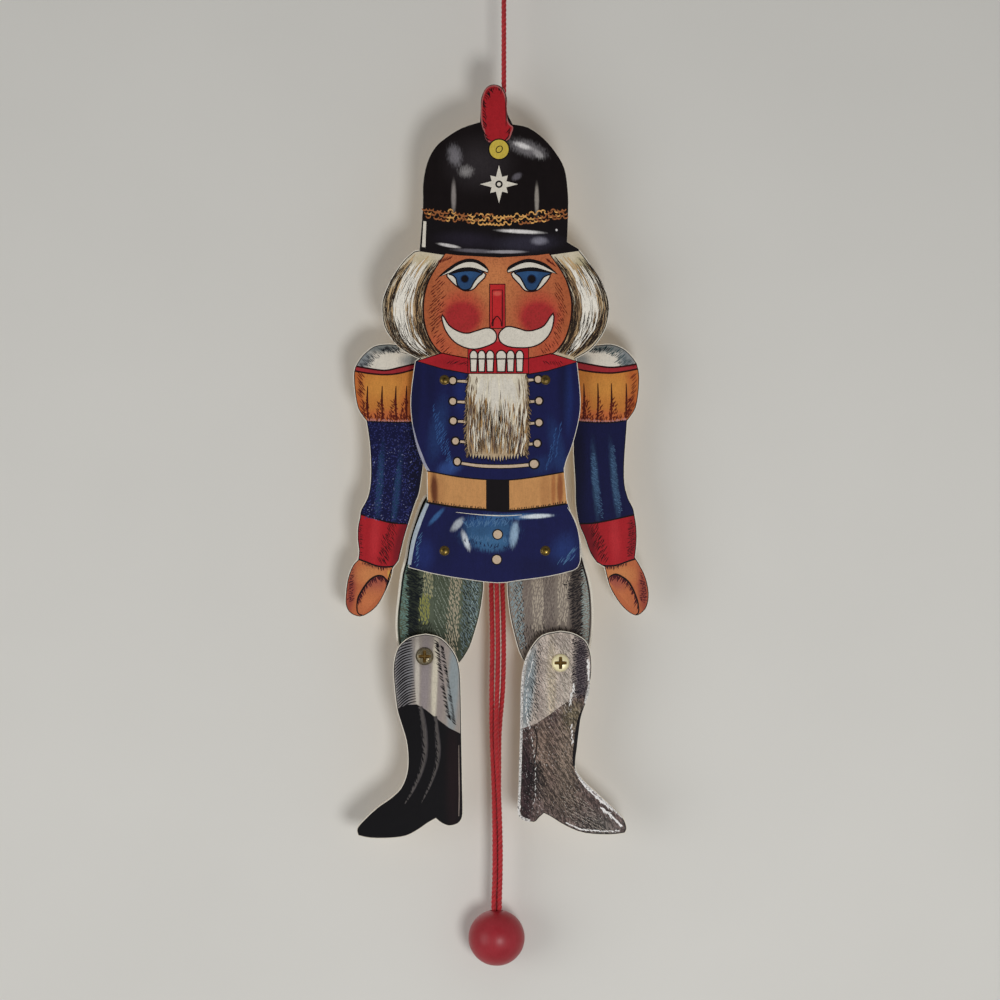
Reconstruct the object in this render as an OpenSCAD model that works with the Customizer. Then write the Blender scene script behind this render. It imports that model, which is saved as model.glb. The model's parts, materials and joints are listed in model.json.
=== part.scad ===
// Jumping jack: a flat wooden soldier whose arms and legs rise when the cord below is pulled.
// Seen from the front, x runs to the right, y runs away from the viewer and z runs up.
// The origin is inside the top of the hanging loop, in the plane of the body board's back.

/* [Boards] */
// Thickness of each sawn board
board_t = 4; // [3:0.5:6]
// Thickness of the laminated picture
print_t = 0.2; // [0.1:0.05:0.4]
// Height of the body board, from the plume to the hem
body_h = 224.5; // [215:0.5:235]
// Width of the body board, across the hair
body_w = 102.5; // [98:0.5:110]
// Length of an arm, from its rivet to the fingertips
arm_len = 107; // [100:0.5:114]
// Length of a lower leg, from its screw to the sole
lower_leg_len = 82; // [76:0.5:88]

/* [Pivots] */
// Sideways distance of the shoulder rivets from the centre line
shoulder_x = 22.7; // [21:0.1:24]
// Sideways distance of the hip rivets from the centre line
hip_x = 22.7; // [21:0.1:24]
// Drop from the shoulder rivets to the hip rivets
hip_drop = 76.9; // [74:0.1:80]
// Drop from the left hip rivet to the left knee screw
left_knee_drop = 47.6; // [45:0.1:50]
// Sideways distance of the left knee screw outside its hip rivet
left_knee_out = 9; // [7:0.1:10]
// Drop from the right hip rivet to the right knee screw
right_knee_drop = 50.5; // [48:0.1:53]
// Sideways distance of the right knee screw outside its hip rivet
right_knee_out = 6.8; // [5:0.1:8]

/* [Fasteners] */
// Diameter of the rivet shanks
rivet_d = 3; // [2.5:0.1:3.5]
// Diameter of the rivet heads at the front
rivet_head_d = 4.4; // [4:0.1:6]
// Diameter of the turned-over rivet ends at the back
rivet_tail_d = 5; // [4.4:0.1:6]
// Thickness of the spacers behind the body board
spacer_t = 2; // [2:0.1:3]
// Diameter of the spacers behind the body board
spacer_d = 9; // [8:0.5:10]
// Thickness of the other washers
washer_t = 0.5; // [0.4:0.1:0.8]
// Diameter of the washers under the rivet ends
washer_d = 7; // [6.4:0.1:8]
// Diameter of the knee screws
screw_d = 4; // [3.5:0.1:4.5]
// Diameter of the knee screws' pan heads
screw_head_d = 8; // [7.5:0.1:9]
// Height of the knee screws' pan heads
screw_head_h = 2.4; // [2:0.1:3]
// Length of the knee screws under the head
screw_len = 12; // [12:0.5:16]
// Width of the knee nuts across their flats
nut_af = 7; // [6.5:0.1:8]
// Thickness of the knee nuts
nut_t = 2.2; // [2:0.1:3]

/* [Strings and cords] */
// Diameter of the red cord
cord_d = 2.4; // [2:0.1:2.6]
// Diameter of the strings that join the limbs to the pull cord
string_d = 1.2; // [1:0.1:1.4]
// Slope of those strings below the level, in degrees
string_slope = 35; // [30:1:40]
// Diameter of the knots in the pull cord
knot_d = 6; // [5.5:0.1:7]
// Diameter of the ball on the pull cord
ball_d = 25.5; // [22:0.5:28]
// Depth of the hole in the ball
ball_hole_deep = 14; // [10:0.5:18]
// Drop from the shoulder rivets to the ball's centre
ball_drop = 252; // [248:0.5:256]
// Drop from the top of the hanging loop to the shoulder rivets
shoulder_drop = 193.4; // [190:0.1:200]
// Sideways distance of the hanging cord from the centre line
hang_x = 4; // [3:0.1:5]
// Inner radius of the hanging loop
loop_r = 4.8; // [4:0.1:6]
// Diameter of the wire of the staple
staple_wire_d = 1.2; // [1:0.1:1.4]
// Length of the staple across its crown
staple_w = 9; // [8:0.5:11]

/* [Motion] */
// Distance from a shoulder rivet to the arm's string hole
arm_reach = 8; // [7.8:0.1:8.6]
// Turn of an arm from rest to its stop, in degrees
arm_swing = 95; // [85:1:100]
// Turn of a thigh from rest to its stop, in degrees
leg_swing = 70; // [66:1:75]

/* [Hidden] */
$fn = 64;
eps = 0.01;

// Clearances
run_gap = 0.1;
fixed_gap = 0.05;
soft_gap = 0.3;

// Depths, from the body board's back
body_print_y = -board_t - print_t;
limb_print_y = spacer_t + run_gap;
limb_board_y = limb_print_y + print_t;
limb_back_y = limb_board_y + board_t;
washer_y = limb_back_y + run_gap;
tail_y = washer_y + washer_t;
knee_washer_y = limb_print_y - washer_t;
lower_leg_board_y = knee_washer_y - run_gap - board_t;
lower_leg_print_y = lower_leg_board_y - print_t;
screw_head_y = lower_leg_print_y - run_gap;
string_back_y = limb_back_y + soft_gap + string_d / 2;
string_front_y = limb_print_y - soft_gap - string_d / 2;
pull_y = limb_back_y + soft_gap + cord_d / 2;
hang_y = cord_d / 2 + soft_gap;

// Motion: both pairs of string holes drop by the same travel, so one cord moves them all
pull_travel = 2 * arm_reach * sin(arm_swing / 2);
leg_reach = pull_travel / 2 / sin(leg_swing / 2);
// How far a string hole strays to each side of its string, which keeps its slope
arm_stray = arm_reach * (1 - cos(arm_swing / 2)) / 2 + 0.05;
leg_stray = leg_reach * (1 - cos(leg_swing / 2)) / 2 + 0.05;
string_hole_r = string_d / 2 + max(arm_stray, leg_stray) + 0.25;
lobe_r = string_hole_r + 1.6;
// The lobe's neck is a little narrower than its round end
lobe_neck_r = lobe_r - 0.4;
loop_w = lobe_r + max(arm_stray, leg_stray) + 0.25 + string_d / 2;
arm_hub_r = 6.5;
thigh_hub_r = 7;
tie_d = 2.6;

// Sizes at which the outlines below are drawn
drawn_body_h = 224.5;
drawn_body_w = 102.5;
drawn_arm_len = 107;
drawn_lower_leg_len = 82;
drawn_left_knee_drop = 47.6;
drawn_right_knee_drop = 50.5;

// Body outline: x from the centre line, z from the line through the shoulder rivets, clockwise
plume = [[-6.8, 116], [-6.5, 122], [-6.2, 127], [-4, 131.5], [-0.5, 133], [3.3, 131.5], [5.4, 127],
    [5.5, 120.5], [8, 115]];
helmet_right = [[8, 115], [15, 113.5], [22, 108.5], [27.5, 102], [31.3, 95], [32.7, 86], [33, 77.5],
    [32.5, 62]];
hair_right = [[37.5, 59], [41.5, 54], [47.5, 45], [50.8, 37.5], [51.5, 31.5], [50.2, 24], [47, 18],
    [42.5, 13], [36.5, 9.5]];
tunic_right = [[37, 8], [38.5, -7.5], [38, -17], [35, -29], [32.5, -35.5], [31.2, -40]];
skirt_right = [[32.5, -54], [34, -59], [36.5, -64.5], [38.2, -70.5], [39, -76], [38.6, -81], [37.3, -84.5],
    [35, -86]];
hem = [[35, -86], [24.5, -88.5], [11.5, -90.3], [1, -91.5], [-13.5, -89.8], [-27, -87.5], [-39, -84.5]];
skirt_left = [[-39, -84.5], [-38, -78], [-37, -71.5], [-34.5, -65], [-30.5, -55]];
tunic_left = [[-30.7, -41], [-33.3, -35.5], [-35.5, -29], [-37.5, -18.5], [-38, -7.5], [-36, 8.5]];
hair_left = [[-34.5, 9.5], [-41.3, 13], [-46.4, 18], [-50, 24], [-51, 31.5], [-50.3, 37.5], [-46.5, 46],
    [-41.4, 53.5], [-36.5, 58]];
helmet_left = [[-34, 58.5], [-32.5, 77.5], [-32.4, 88], [-30.6, 97.5], [-27, 104.5], [-22, 109],
    [-15, 113.3], [-6.8, 116]];

// Arm outlines: x outwards from the rivet, z from the rivet, from the hidden top round to the hidden side
left_shoulder = [[-2.4, 4.5], [4, 10.5], [11, 15], [21.5, 16.2], [26, 16.5], [32, 15.5], [37, 11.5], [39.6, 8]];
left_tassels = [[39.6, 8], [41.2, 4], [41, -3.5], [39.5, -12.5], [36, -18]];
left_sleeve = [[35.6, -18.5], [34.2, -28], [33.6, -37.5], [33.8, -46.5], [35.1, -53], [38, -58.5],
    [38.6, -62], [39.5, -66.5], [39.6, -72], [39, -77], [39.4, -81]];
left_hand = [[39.4, -81], [41.7, -83.5], [44, -89.5], [45, -97], [44.8, -102], [42.6, -105.5], [38, -107],
    [33.3, -104.8], [29.5, -101], [26.3, -95], [24.1, -89.5], [23.2, -85]];
left_inside = [[20.5, -81.5], [18.5, -73], [16.5, -66], [13.3, -56], [11.4, -51], [10, -42], [8, -27],
    [5, -13], [-2.4, -5]];
right_shoulder = [[-2.4, 4.5], [4, 10.5], [11, 15], [23, 16], [29.5, 16.4], [35, 14.6], [39.1, 11], [41.6, 7.5]];
right_tassels = [[41.6, 7.5], [42.6, 3], [42.5, -4], [41.1, -12.5], [37.6, -18]];
right_sleeve = [[37.2, -18.5], [36.5, -28], [35.9, -37.5], [36, -46.5], [37.6, -53], [39.8, -57.5],
    [40.6, -61], [41.4, -66.5], [41.5, -73], [40.8, -80]];
right_hand = [[40.8, -80], [43, -83.5], [45.6, -89], [47, -96], [46.2, -102], [43.5, -105.5], [40.4, -106.5],
    [36, -103.8], [32, -99], [28.5, -92.5], [26.5, -84.5]];
right_inside = [[23, -82.5], [20, -78], [17.5, -71], [15, -65], [13.5, -56], [13.3, -46.5], [12.5, -33],
    [12, -22], [8, -12], [-2.4, -5]];

// Thigh outlines: x outwards from the rivet, z from the rivet
left_thigh_out = [[-3.6, 5], [-1, 17], [3, 23.5], [6.5, 26], [9.5, 24.5], [12, 19.5], [14.6, 12], [16.8, 4.5],
    [18, -3], [20, -10.5], [21.4, -22], [22.2, -30], [22, -38.5], [20.8, -45], [17.5, -54.5], [9, -60],
    [0, -57.5], [-7, -50.5]];
left_thigh_in = [[-8.6, -48.5], [-11.5, -43.5], [-14, -36], [-16, -28.5], [-17.4, -19.5], [-17.6, -14],
    [-16, -7], [-4.5, -2]];
right_thigh_out = [[-3.6, 5], [-1, 17], [2, 22], [5, 24.5], [7.5, 23.5], [10, 18.5], [12.5, 12], [14.8, 5],
    [16.6, 0], [18.5, -6.5], [20.5, -14], [21.6, -22], [21.7, -34.5], [20.2, -44.5], [17, -54], [9.5, -60.5],
    [0, -58.5], [-8, -53]];
right_thigh_in = [[-9.5, -50.5], [-12, -45.5], [-14.6, -36], [-16.4, -27], [-17.4, -14.5], [-15.8, -7],
    [-4.5, -2]];

// Lower-leg outlines: x outwards from the knee screw, z from the screw
left_shin = [[-0.5, 10.2], [6.8, 8.6], [12, 4], [14.1, -3.5], [14, -11], [12.6, -23.5], [10.6, -30.5],
    [8.4, -38], [7.6, -45.5], [8.1, -52.5], [10.6, -59], [15.3, -63.7], [21.4, -68], [27.6, -73.8],
    [30.6, -77.6], [30, -80.8]];
left_sole = [[30, -80.8], [24.3, -82], [15.3, -82], [8.3, -81], [3, -78.3], [-1.5, -75.2], [-5, -73.2]];
left_heel = [[-5, -73.2], [-7.5, -75.2], [-11, -76.5], [-15.1, -75.4], [-17.1, -72.5], [-17.4, -68]];
left_calf = [[-17.4, -68], [-17.1, -52.5], [-16.8, -35.5], [-16.5, -18], [-16, -6.5], [-14.1, 0.5],
    [-10.1, 6], [-6, 9], [-0.5, 10.2]];
right_shin = [[0, 14.4], [5.7, 13.4], [11, 10.3], [13.4, 5.4], [14.2, -1.5], [13.4, -10.5], [11.5, -18.5],
    [8.9, -25.5], [7.4, -36], [6.6, -44.5], [7.5, -49], [11, -53.5], [16.5, -58.6], [23.4, -65],
    [28.2, -69.6], [30, -74.3], [29, -76.8]];
right_sole = [[29, -76.8], [22, -77.6], [11, -76.9], [2.8, -73.9], [-4.2, -69.7], [-7.4, -68]];
right_heel = [[-7.4, -68], [-9.6, -70], [-12, -72], [-17.9, -70.2], [-19.5, -66.7]];
right_calf = [[-19.5, -66.7], [-19, -56.5], [-18.6, -43], [-18.2, -29], [-17.9, -11.5], [-16.8, -1.5],
    [-13.7, 6.3], [-8.3, 12.5], [0, 14.4]];

// Routes of the three pull cords: x from the centre line, y from the cords' mean depth, z from the shoulders
cord_left_route = [[-1.3, 0, -5], [-1.3, 0, -40], [-1.5, 1.3, -72], [-1.7, 1.3, -92], [-1.2, 0.5, -119],
    [-1.5, 0.3, -140], [-1.4, 0.8, -160], [-0.5, 0.2, -185], [-0.1, -0.5, -210], [-0.2, -0.8, -226]];
cord_right_route = [[1.3, 0, -5], [1.3, 0, -40], [1.8, 1.3, -72], [3.3, 1.3, -92], [3.9, 0.5, -119],
    [3.5, 0.6, -140], [1.9, 1, -160], [1.7, 1.4, -185], [1.3, 1.8, -210], [1, 1.7, -226]];
cord_middle_route = [[0.2, -1.7, -81], [0.7, -1.4, -92], [1.35, -0.2, -119], [1, -1, -140],
    [0.4, -1.6, -160], [1.6, -1.3, -185], [2.4, -0.8, -210], [2.3, -0.8, -226]];
// Where the three cords enter the ball, from its own axis
ball_left = [-1.3, -0.75];
ball_right = [0, 1.5];
ball_middle = [1.3, -0.75];
ball_x = 0.7;

// Curve through points, round at each one; the last point is left for the next run
function run(p, steps = 3) = [for (i = [0 : len(p) - 2], j = [0 : steps - 1]) let (t = j / steps,
    a = p[max(i - 1, 0)], b = p[i], c = p[i + 1], d = p[min(i + 2, len(p) - 1)])
    0.5 * (2 * b + t * (c - a) + t * t * (2 * a - 5 * b + 4 * c - d) + t * t * t * (3 * b - a - 3 * c + d))];
function last(p) = [p[len(p) - 1]];
function turned_back(points) = [for (i = [len(points) - 1 : -1 : 0]) points[i]];
function stretched(p, kx, kz) = [for (q = p) [q[0] * kx, q[1] * kz]];

// A tube of 8 sides along a route that never runs straight away from the viewer
function unit(v) = v / norm(v);
function tube_rings(route, r) = [for (i = [0 : len(route) - 1])
    let (t = unit(route[min(i + 1, len(route) - 1)] - route[max(i - 1, 0)]),
        u = unit(cross(t, [0, 1, 0])), v = cross(t, u))
    for (k = [0 : 7]) route[i] + r * (cos(45 * k) * u + sin(45 * k) * v)];
module tube(route, d) {
    rings = len(route);
    sides = [for (i = [0 : rings - 2], k = [0 : 7]) let (a = 8 * i + k, b = 8 * i + (k + 1) % 8)
        each [[a, a + 8, b], [b, a + 8, b + 8]]];
    near_end = [for (k = [1 : 6]) [0, k, k + 1]];
    far_end = [for (k = [1 : 6]) [8 * rings - 8, 8 * rings - 8 + k + 1, 8 * rings - 8 + k]];
    polyhedron(tube_rings(route, d / 2), concat(sides, near_end, far_end));
}

// A board lies in the x-z plane, from depth y towards the back
module sheet(y, t) {
    translate([0, y + t, 0]) rotate([90, 0, 0]) linear_extrude(t) children();
}
module round_bar(y, t, d) {
    translate([0, y + t, 0]) rotate([90, 0, 0]) cylinder(d = d, h = t);
}

// Places: everything below hangs from the shoulder line, mirrored for the left side
module at_doll() {
    translate([-hang_x, 0, -shoulder_drop]) children();
}
module at_shoulder(side) {
    at_doll() translate([side * shoulder_x, 0, 0]) children();
}
module at_hip(side) {
    at_doll() translate([side * hip_x, 0, -hip_drop]) children();
}
function knee_out(side) = side < 0 ? left_knee_out : right_knee_out;
function knee_drop(side) = side < 0 ? left_knee_drop : right_knee_drop;
module at_knee(side) {
    at_hip(side) translate([side * knee_out(side), 0, -knee_drop(side)]) children();
}
module on_side(side) {
    mirror([side < 0 ? 1 : 0, 0, 0]) children();
}

// Body
module body_shape() {
    outline = concat(run(plume), run(helmet_right), last(helmet_right), run(hair_right), last(hair_right),
        run(tunic_right), last(tunic_right), run(skirt_right), run(hem), run(skirt_left), last(skirt_left),
        run(tunic_left), last(tunic_left), run(hair_left), last(hair_left), run(helmet_left));
    difference() {
        polygon(stretched(outline, body_w / drawn_body_w, body_h / drawn_body_h));
        for (side = [-1, 1]) {
            translate([side * shoulder_x, 0]) circle(d = rivet_d + 2 * fixed_gap);
            translate([side * hip_x, -hip_drop]) circle(d = rivet_d + 2 * fixed_gap);
        }
    }
}
// Height of the staple above the shoulder line, behind the helmet
plume_top = 133 * body_h / drawn_body_h;
staple_z = plume_top - 29;
staple_leg = 2.8;
staple_crown_y = hang_y + cord_d / 2 + soft_gap + staple_wire_d / 2;
staple_half = staple_w / 2 - staple_wire_d / 2;
module at_staple() {
    at_doll() translate([hang_x, 0, staple_z]) children();
}
module body_board() {
    color("wheat") difference() {
        at_doll() sheet(-board_t, board_t) body_shape();
        at_staple() for (side = [-1, 1])
            translate([side * staple_half, 0, 0])
                round_bar(-staple_leg - fixed_gap, staple_leg + 1, staple_wire_d + 2 * fixed_gap);
    }
}
module body_print() {
    color("midnightblue") at_doll() sheet(body_print_y, print_t) body_shape();
}

// Hanging parts
module hanger_staple() {
    color("silver") at_staple() {
        for (side = [-1, 1]) translate([side * staple_half, 0, 0]) {
            round_bar(-staple_leg, staple_leg + staple_crown_y, staple_wire_d);
            translate([0, staple_crown_y, 0]) sphere(d = staple_wire_d);
        }
        translate([-staple_half, staple_crown_y, 0]) rotate([0, 90, 0])
            cylinder(d = staple_wire_d, h = 2 * staple_half);
    }
}
// The loop's round top, then its two sides drawn in to the knot
loop_mid = loop_r + cord_d / 2;
loop_knot_z = -16;
hang_end_z = staple_z - shoulder_drop - 7;
hang_knot_d = knot_d - 0.8;
loop_side = [[-1.3, loop_knot_z + 1], [-3.4, -12], [-5.2, -8.5]];
function loop_points() = concat(
    [for (p = loop_side) [p[0], hang_y, p[1]]],
    [for (a = [200 : -22 : -20]) [loop_mid * cos(a), hang_y, -loop_r + loop_mid * sin(a)]],
    [for (i = [2 : -1 : 0]) [-loop_side[i][0], hang_y, loop_side[i][1]]]);
module hanging_cord() {
    color("crimson") {
        tube([for (i = [0 : 12]) [0, hang_y, loop_knot_z + (hang_end_z - loop_knot_z) * i / 12]], cord_d);
        translate([0, hang_knot_d / 2 + soft_gap, hang_end_z]) sphere(d = hang_knot_d);
    }
}
module hanging_loop() {
    color("crimson") {
        tube(loop_points(), cord_d);
        translate([0, hang_y, loop_knot_z]) sphere(d = knot_d);
    }
}

// A limb's hub round its rivet, with the lobe that holds its string hole on the inner side
function hole_at(reach, swing) = reach * [-cos(swing / 2), sin(swing / 2)];
module hub(hub_r, reach, swing) {
    circle(r = hub_r);
    translate(hole_at(reach, swing)) circle(r = lobe_r);
    rotate(180 - swing / 2) translate([0, -lobe_neck_r]) square([reach, 2 * lobe_neck_r]);
}
module hub_holes(reach, swing) {
    circle(d = rivet_d + 2 * run_gap);
    translate(hole_at(reach, swing)) circle(r = string_hole_r);
}

// Arms
module arm_shape(side) {
    outline = side < 0
        ? concat(run(left_shoulder), run(left_tassels), last(left_tassels), run(left_sleeve),
            run(left_hand), last(left_hand), run(left_inside), last(left_inside))
        : concat(run(right_shoulder), run(right_tassels), last(right_tassels), run(right_sleeve),
            run(right_hand), last(right_hand), run(right_inside), last(right_inside));
    k = arm_len / drawn_arm_len;
    on_side(side) difference() {
        union() {
            polygon(turned_back(stretched(outline, 1, k)));
            hub(arm_hub_r, arm_reach, arm_swing);
        }
        hub_holes(arm_reach, arm_swing);
    }
}
module arm_board(side) {
    color("wheat") at_shoulder(side) sheet(limb_board_y, board_t) arm_shape(side);
}
module arm_print(side) {
    color("royalblue") at_shoulder(side) sheet(limb_print_y, print_t) arm_shape(side);
}

// Thighs
module thigh_shape(side) {
    outline = side < 0
        ? concat(run(left_thigh_out), last(left_thigh_out), run(left_thigh_in), last(left_thigh_in))
        : concat(run(right_thigh_out), last(right_thigh_out), run(right_thigh_in), last(right_thigh_in));
    k = knee_drop(side) / (side < 0 ? drawn_left_knee_drop : drawn_right_knee_drop);
    on_side(side) difference() {
        union() {
            polygon(turned_back(stretched(outline, 1, k)));
            hub(thigh_hub_r, leg_reach, leg_swing);
        }
        hub_holes(leg_reach, leg_swing);
        translate([knee_out(side), -knee_drop(side)]) circle(d = screw_d + 2 * fixed_gap);
    }
}
module thigh_board(side) {
    color("wheat") at_hip(side) sheet(limb_board_y, board_t) thigh_shape(side);
}
module thigh_print(side) {
    color("darkseagreen") at_hip(side) sheet(limb_print_y, print_t) thigh_shape(side);
}

// Lower legs
module lower_leg_shape(side) {
    outline = side < 0
        ? concat(run(left_shin), run(left_sole), run(left_heel), run(left_calf))
        : concat(run(right_shin), run(right_sole), run(right_heel), run(right_calf));
    on_side(side) difference() {
        polygon(stretched(outline, 1, lower_leg_len / drawn_lower_leg_len));
        circle(d = screw_d + 2 * run_gap);
    }
}
module lower_leg_board(side) {
    color("wheat") at_knee(side) sheet(lower_leg_board_y, board_t) lower_leg_shape(side);
}
module lower_leg_print(side) {
    color("dimgray") at_knee(side) sheet(lower_leg_print_y, print_t) lower_leg_shape(side);
}

// Rivets: a domed head at the front, the shank, and the turned-over end at the back
rivet_dome_h = 1;
module dome(d, h) {
    ball_r = (d * d / 4 + h * h) / (2 * h);
    intersection() {
        translate([0, 0, h - ball_r]) sphere(r = ball_r);
        cylinder(d = d, h = h);
    }
}
module rivet() {
    color("goldenrod") {
        round_bar(body_print_y - eps, tail_y - body_print_y + 2 * eps, rivet_d);
        translate([0, body_print_y, 0]) rotate([90, 0, 0]) dome(rivet_head_d, rivet_dome_h);
        translate([0, tail_y, 0]) rotate([-90, 0, 0]) dome(rivet_tail_d, rivet_dome_h);
    }
}
module spacer() {
    color("tan") difference() {
        round_bar(0, spacer_t, spacer_d);
        round_bar(-1, spacer_t + 2, rivet_d + 2 * fixed_gap);
    }
}
module rivet_washer() {
    color("silver") difference() {
        round_bar(washer_y, washer_t, washer_d);
        round_bar(washer_y - 1, washer_t + 2, rivet_d + 2 * fixed_gap);
    }
}

// Knee screws: a pan head with a cross recess
pan_edge_h = 0.9;
cross_w = 1.1;
cross_len = 4.6;
cross_deep = 1.3;
module knee_screw() {
    color("goldenrod") difference() {
        union() {
            round_bar(screw_head_y - eps, screw_len + eps, screw_d);
            round_bar(screw_head_y - pan_edge_h, pan_edge_h, screw_head_d);
            translate([0, screw_head_y - pan_edge_h + eps, 0]) rotate([90, 0, 0])
                dome(screw_head_d, screw_head_h - pan_edge_h);
        }
        for (turn = [0, 90]) rotate([0, turn, 0])
            translate([-cross_len / 2, screw_head_y - screw_head_h - 1, -cross_w / 2])
                cube([cross_len, cross_deep + 1, cross_w]);
    }
}
module knee_washer() {
    color("silver") difference() {
        round_bar(knee_washer_y, washer_t, screw_head_d + 1);
        round_bar(knee_washer_y - 1, washer_t + 2, screw_d + 2 * fixed_gap);
    }
}
module knee_nut() {
    color("silver") translate([0, limb_back_y + nut_t, 0]) rotate([90, 0, 0]) difference() {
        cylinder(d = nut_af / cos(30), h = nut_t, $fn = 6);
        translate([0, 0, -1]) cylinder(d = screw_d + 2 * fixed_gap, h = nut_t + 2);
    }
}

// Strings: x inwards from the string's own end in the limb's hole, sloping down to the knot
function string_end(pivot_x, reach, swing) = pivot_x - reach * (1 + cos(swing / 2)) / 2;
function knot_z(pivot_x, reach, swing) =
    reach * sin(swing / 2) - string_end(pivot_x, reach, swing) * tan(string_slope);
module bar(length, d) {
    rotate([0, 90, 0]) cylinder(d = d, h = length);
    sphere(d = d);
    translate([length, 0, 0]) sphere(d = d);
}
module limb_string(pivot_x, reach, swing) {
    end_x = string_end(pivot_x, reach, swing);
    length = end_x / cos(string_slope);
    color("crimson") translate([end_x, 0, reach * sin(swing / 2)]) rotate([0, 180 - string_slope, 0]) {
        translate([0, string_front_y, 0]) bar(loop_w, string_d);
        translate([0, string_back_y, 0]) bar(length - knot_d / 4, string_d);
        for (x = [0, loop_w])
            translate([x, 0, 0]) round_bar(string_front_y, string_back_y - string_front_y, string_d);
        translate([loop_w, string_back_y, 0]) sphere(d = tie_d);
    }
}
module arm_string(side) {
    at_doll() on_side(side) limb_string(shoulder_x, arm_reach, arm_swing);
}
module leg_string(side) {
    at_doll() translate([0, 0, -hip_drop]) on_side(side) limb_string(hip_x, leg_reach, leg_swing);
}
arm_knot_z = knot_z(shoulder_x, arm_reach, arm_swing);
leg_knot_z = -hip_drop + knot_z(hip_x, leg_reach, leg_swing);
module arm_knot() {
    color("crimson") at_doll() translate([0, pull_y, arm_knot_z]) sphere(d = knot_d);
}
module leg_knot() {
    color("crimson") at_doll() translate([0, pull_y, leg_knot_z]) sphere(d = knot_d);
}

// Pull cords: their routes, then straight down into the ball
ball_cord_end = ball_hole_deep - 1;
function into_ball(p) = [for (deep = [-4, 3, ball_cord_end])
    [ball_x + p[0], p[1], -ball_drop + ball_d / 2 - deep]];
function pull_route(p, entry) = [for (q = concat(run(p, 3), last(p), into_ball(entry)))
    [q[0], pull_y + q[1], q[2]]];
module pull_cord(route, entry) {
    color("crimson") at_doll() tube(pull_route(route, entry), cord_d);
}
ball_hole_d = 5.8;
module pull_ball() {
    color("firebrick") at_doll() translate([ball_x, pull_y, -ball_drop]) difference() {
        sphere(d = ball_d);
        translate([0, 0, ball_d / 2 - ball_hole_deep]) cylinder(d = ball_hole_d, h = ball_hole_deep + 1);
    }
}

body_board();
body_print();
hanger_staple();
hanging_cord();
hanging_loop();
arm_board(-1);  // left_arm_board
arm_print(-1);  // left_arm_print
arm_board(1);  // right_arm_board
arm_print(1);  // right_arm_print
thigh_board(-1);  // left_thigh_board
thigh_print(-1);  // left_thigh_print
thigh_board(1);  // right_thigh_board
thigh_print(1);  // right_thigh_print
lower_leg_board(-1);  // left_lower_leg_board
lower_leg_print(-1);  // left_lower_leg_print
lower_leg_board(1);  // right_lower_leg_board
lower_leg_print(1);  // right_lower_leg_print
at_shoulder(-1) rivet();  // left_shoulder_rivet
at_shoulder(1) rivet();  // right_shoulder_rivet
at_hip(-1) rivet();  // left_hip_rivet
at_hip(1) rivet();  // right_hip_rivet
at_shoulder(-1) spacer();  // left_shoulder_spacer
at_shoulder(1) spacer();  // right_shoulder_spacer
at_hip(-1) spacer();  // left_hip_spacer
at_hip(1) spacer();  // right_hip_spacer
at_shoulder(-1) rivet_washer();  // left_shoulder_washer
at_shoulder(1) rivet_washer();  // right_shoulder_washer
at_hip(-1) rivet_washer();  // left_hip_washer
at_hip(1) rivet_washer();  // right_hip_washer
at_knee(-1) knee_screw();  // left_knee_screw
at_knee(1) knee_screw();  // right_knee_screw
at_knee(-1) knee_washer();  // left_knee_washer
at_knee(1) knee_washer();  // right_knee_washer
at_knee(-1) knee_nut();  // left_knee_nut
at_knee(1) knee_nut();  // right_knee_nut
arm_string(-1);  // left_arm_string
arm_string(1);  // right_arm_string
leg_string(-1);  // left_leg_string
leg_string(1);  // right_leg_string
arm_knot();
leg_knot();
pull_cord(cord_left_route, ball_left);  // pull_cord_left
pull_cord(cord_middle_route, ball_middle);  // pull_cord_middle
pull_cord(cord_right_route, ball_right);  // pull_cord_right
pull_ball();
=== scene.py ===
"""Looks of a wooden jumping jack: painted pictures on sawn boards, joined by rivets, screws and red cord."""
import json
import math
import random

import bmesh
import bpy
from bpy.props import FloatProperty, FloatVectorProperty, IntProperty, PointerProperty
from mathutils import Matrix, Vector


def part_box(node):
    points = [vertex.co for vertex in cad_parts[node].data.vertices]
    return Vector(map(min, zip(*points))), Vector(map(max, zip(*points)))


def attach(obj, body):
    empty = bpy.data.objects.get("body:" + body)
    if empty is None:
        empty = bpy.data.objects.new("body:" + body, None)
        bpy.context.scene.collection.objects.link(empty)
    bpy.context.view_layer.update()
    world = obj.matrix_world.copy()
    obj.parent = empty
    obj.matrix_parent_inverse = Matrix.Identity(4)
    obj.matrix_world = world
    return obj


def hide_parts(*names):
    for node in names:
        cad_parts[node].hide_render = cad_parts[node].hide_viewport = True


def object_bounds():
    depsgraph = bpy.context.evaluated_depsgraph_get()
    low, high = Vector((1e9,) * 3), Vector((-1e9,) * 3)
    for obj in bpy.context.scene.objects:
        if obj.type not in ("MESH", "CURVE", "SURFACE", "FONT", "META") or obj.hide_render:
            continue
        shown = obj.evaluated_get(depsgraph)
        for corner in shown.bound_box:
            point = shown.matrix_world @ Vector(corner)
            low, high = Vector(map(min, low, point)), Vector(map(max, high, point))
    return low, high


bl_info = {
    "name": "Jumping Jack",
    "version": (1, 0, 0),
    "blender": (4, 5, 0),
    "location": "View3D > Sidebar > Jumping Jack",
    "description": "Dresses a wooden jumping jack with paint, wood, metal and cord",
    "category": "Add Mesh",
}

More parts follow.
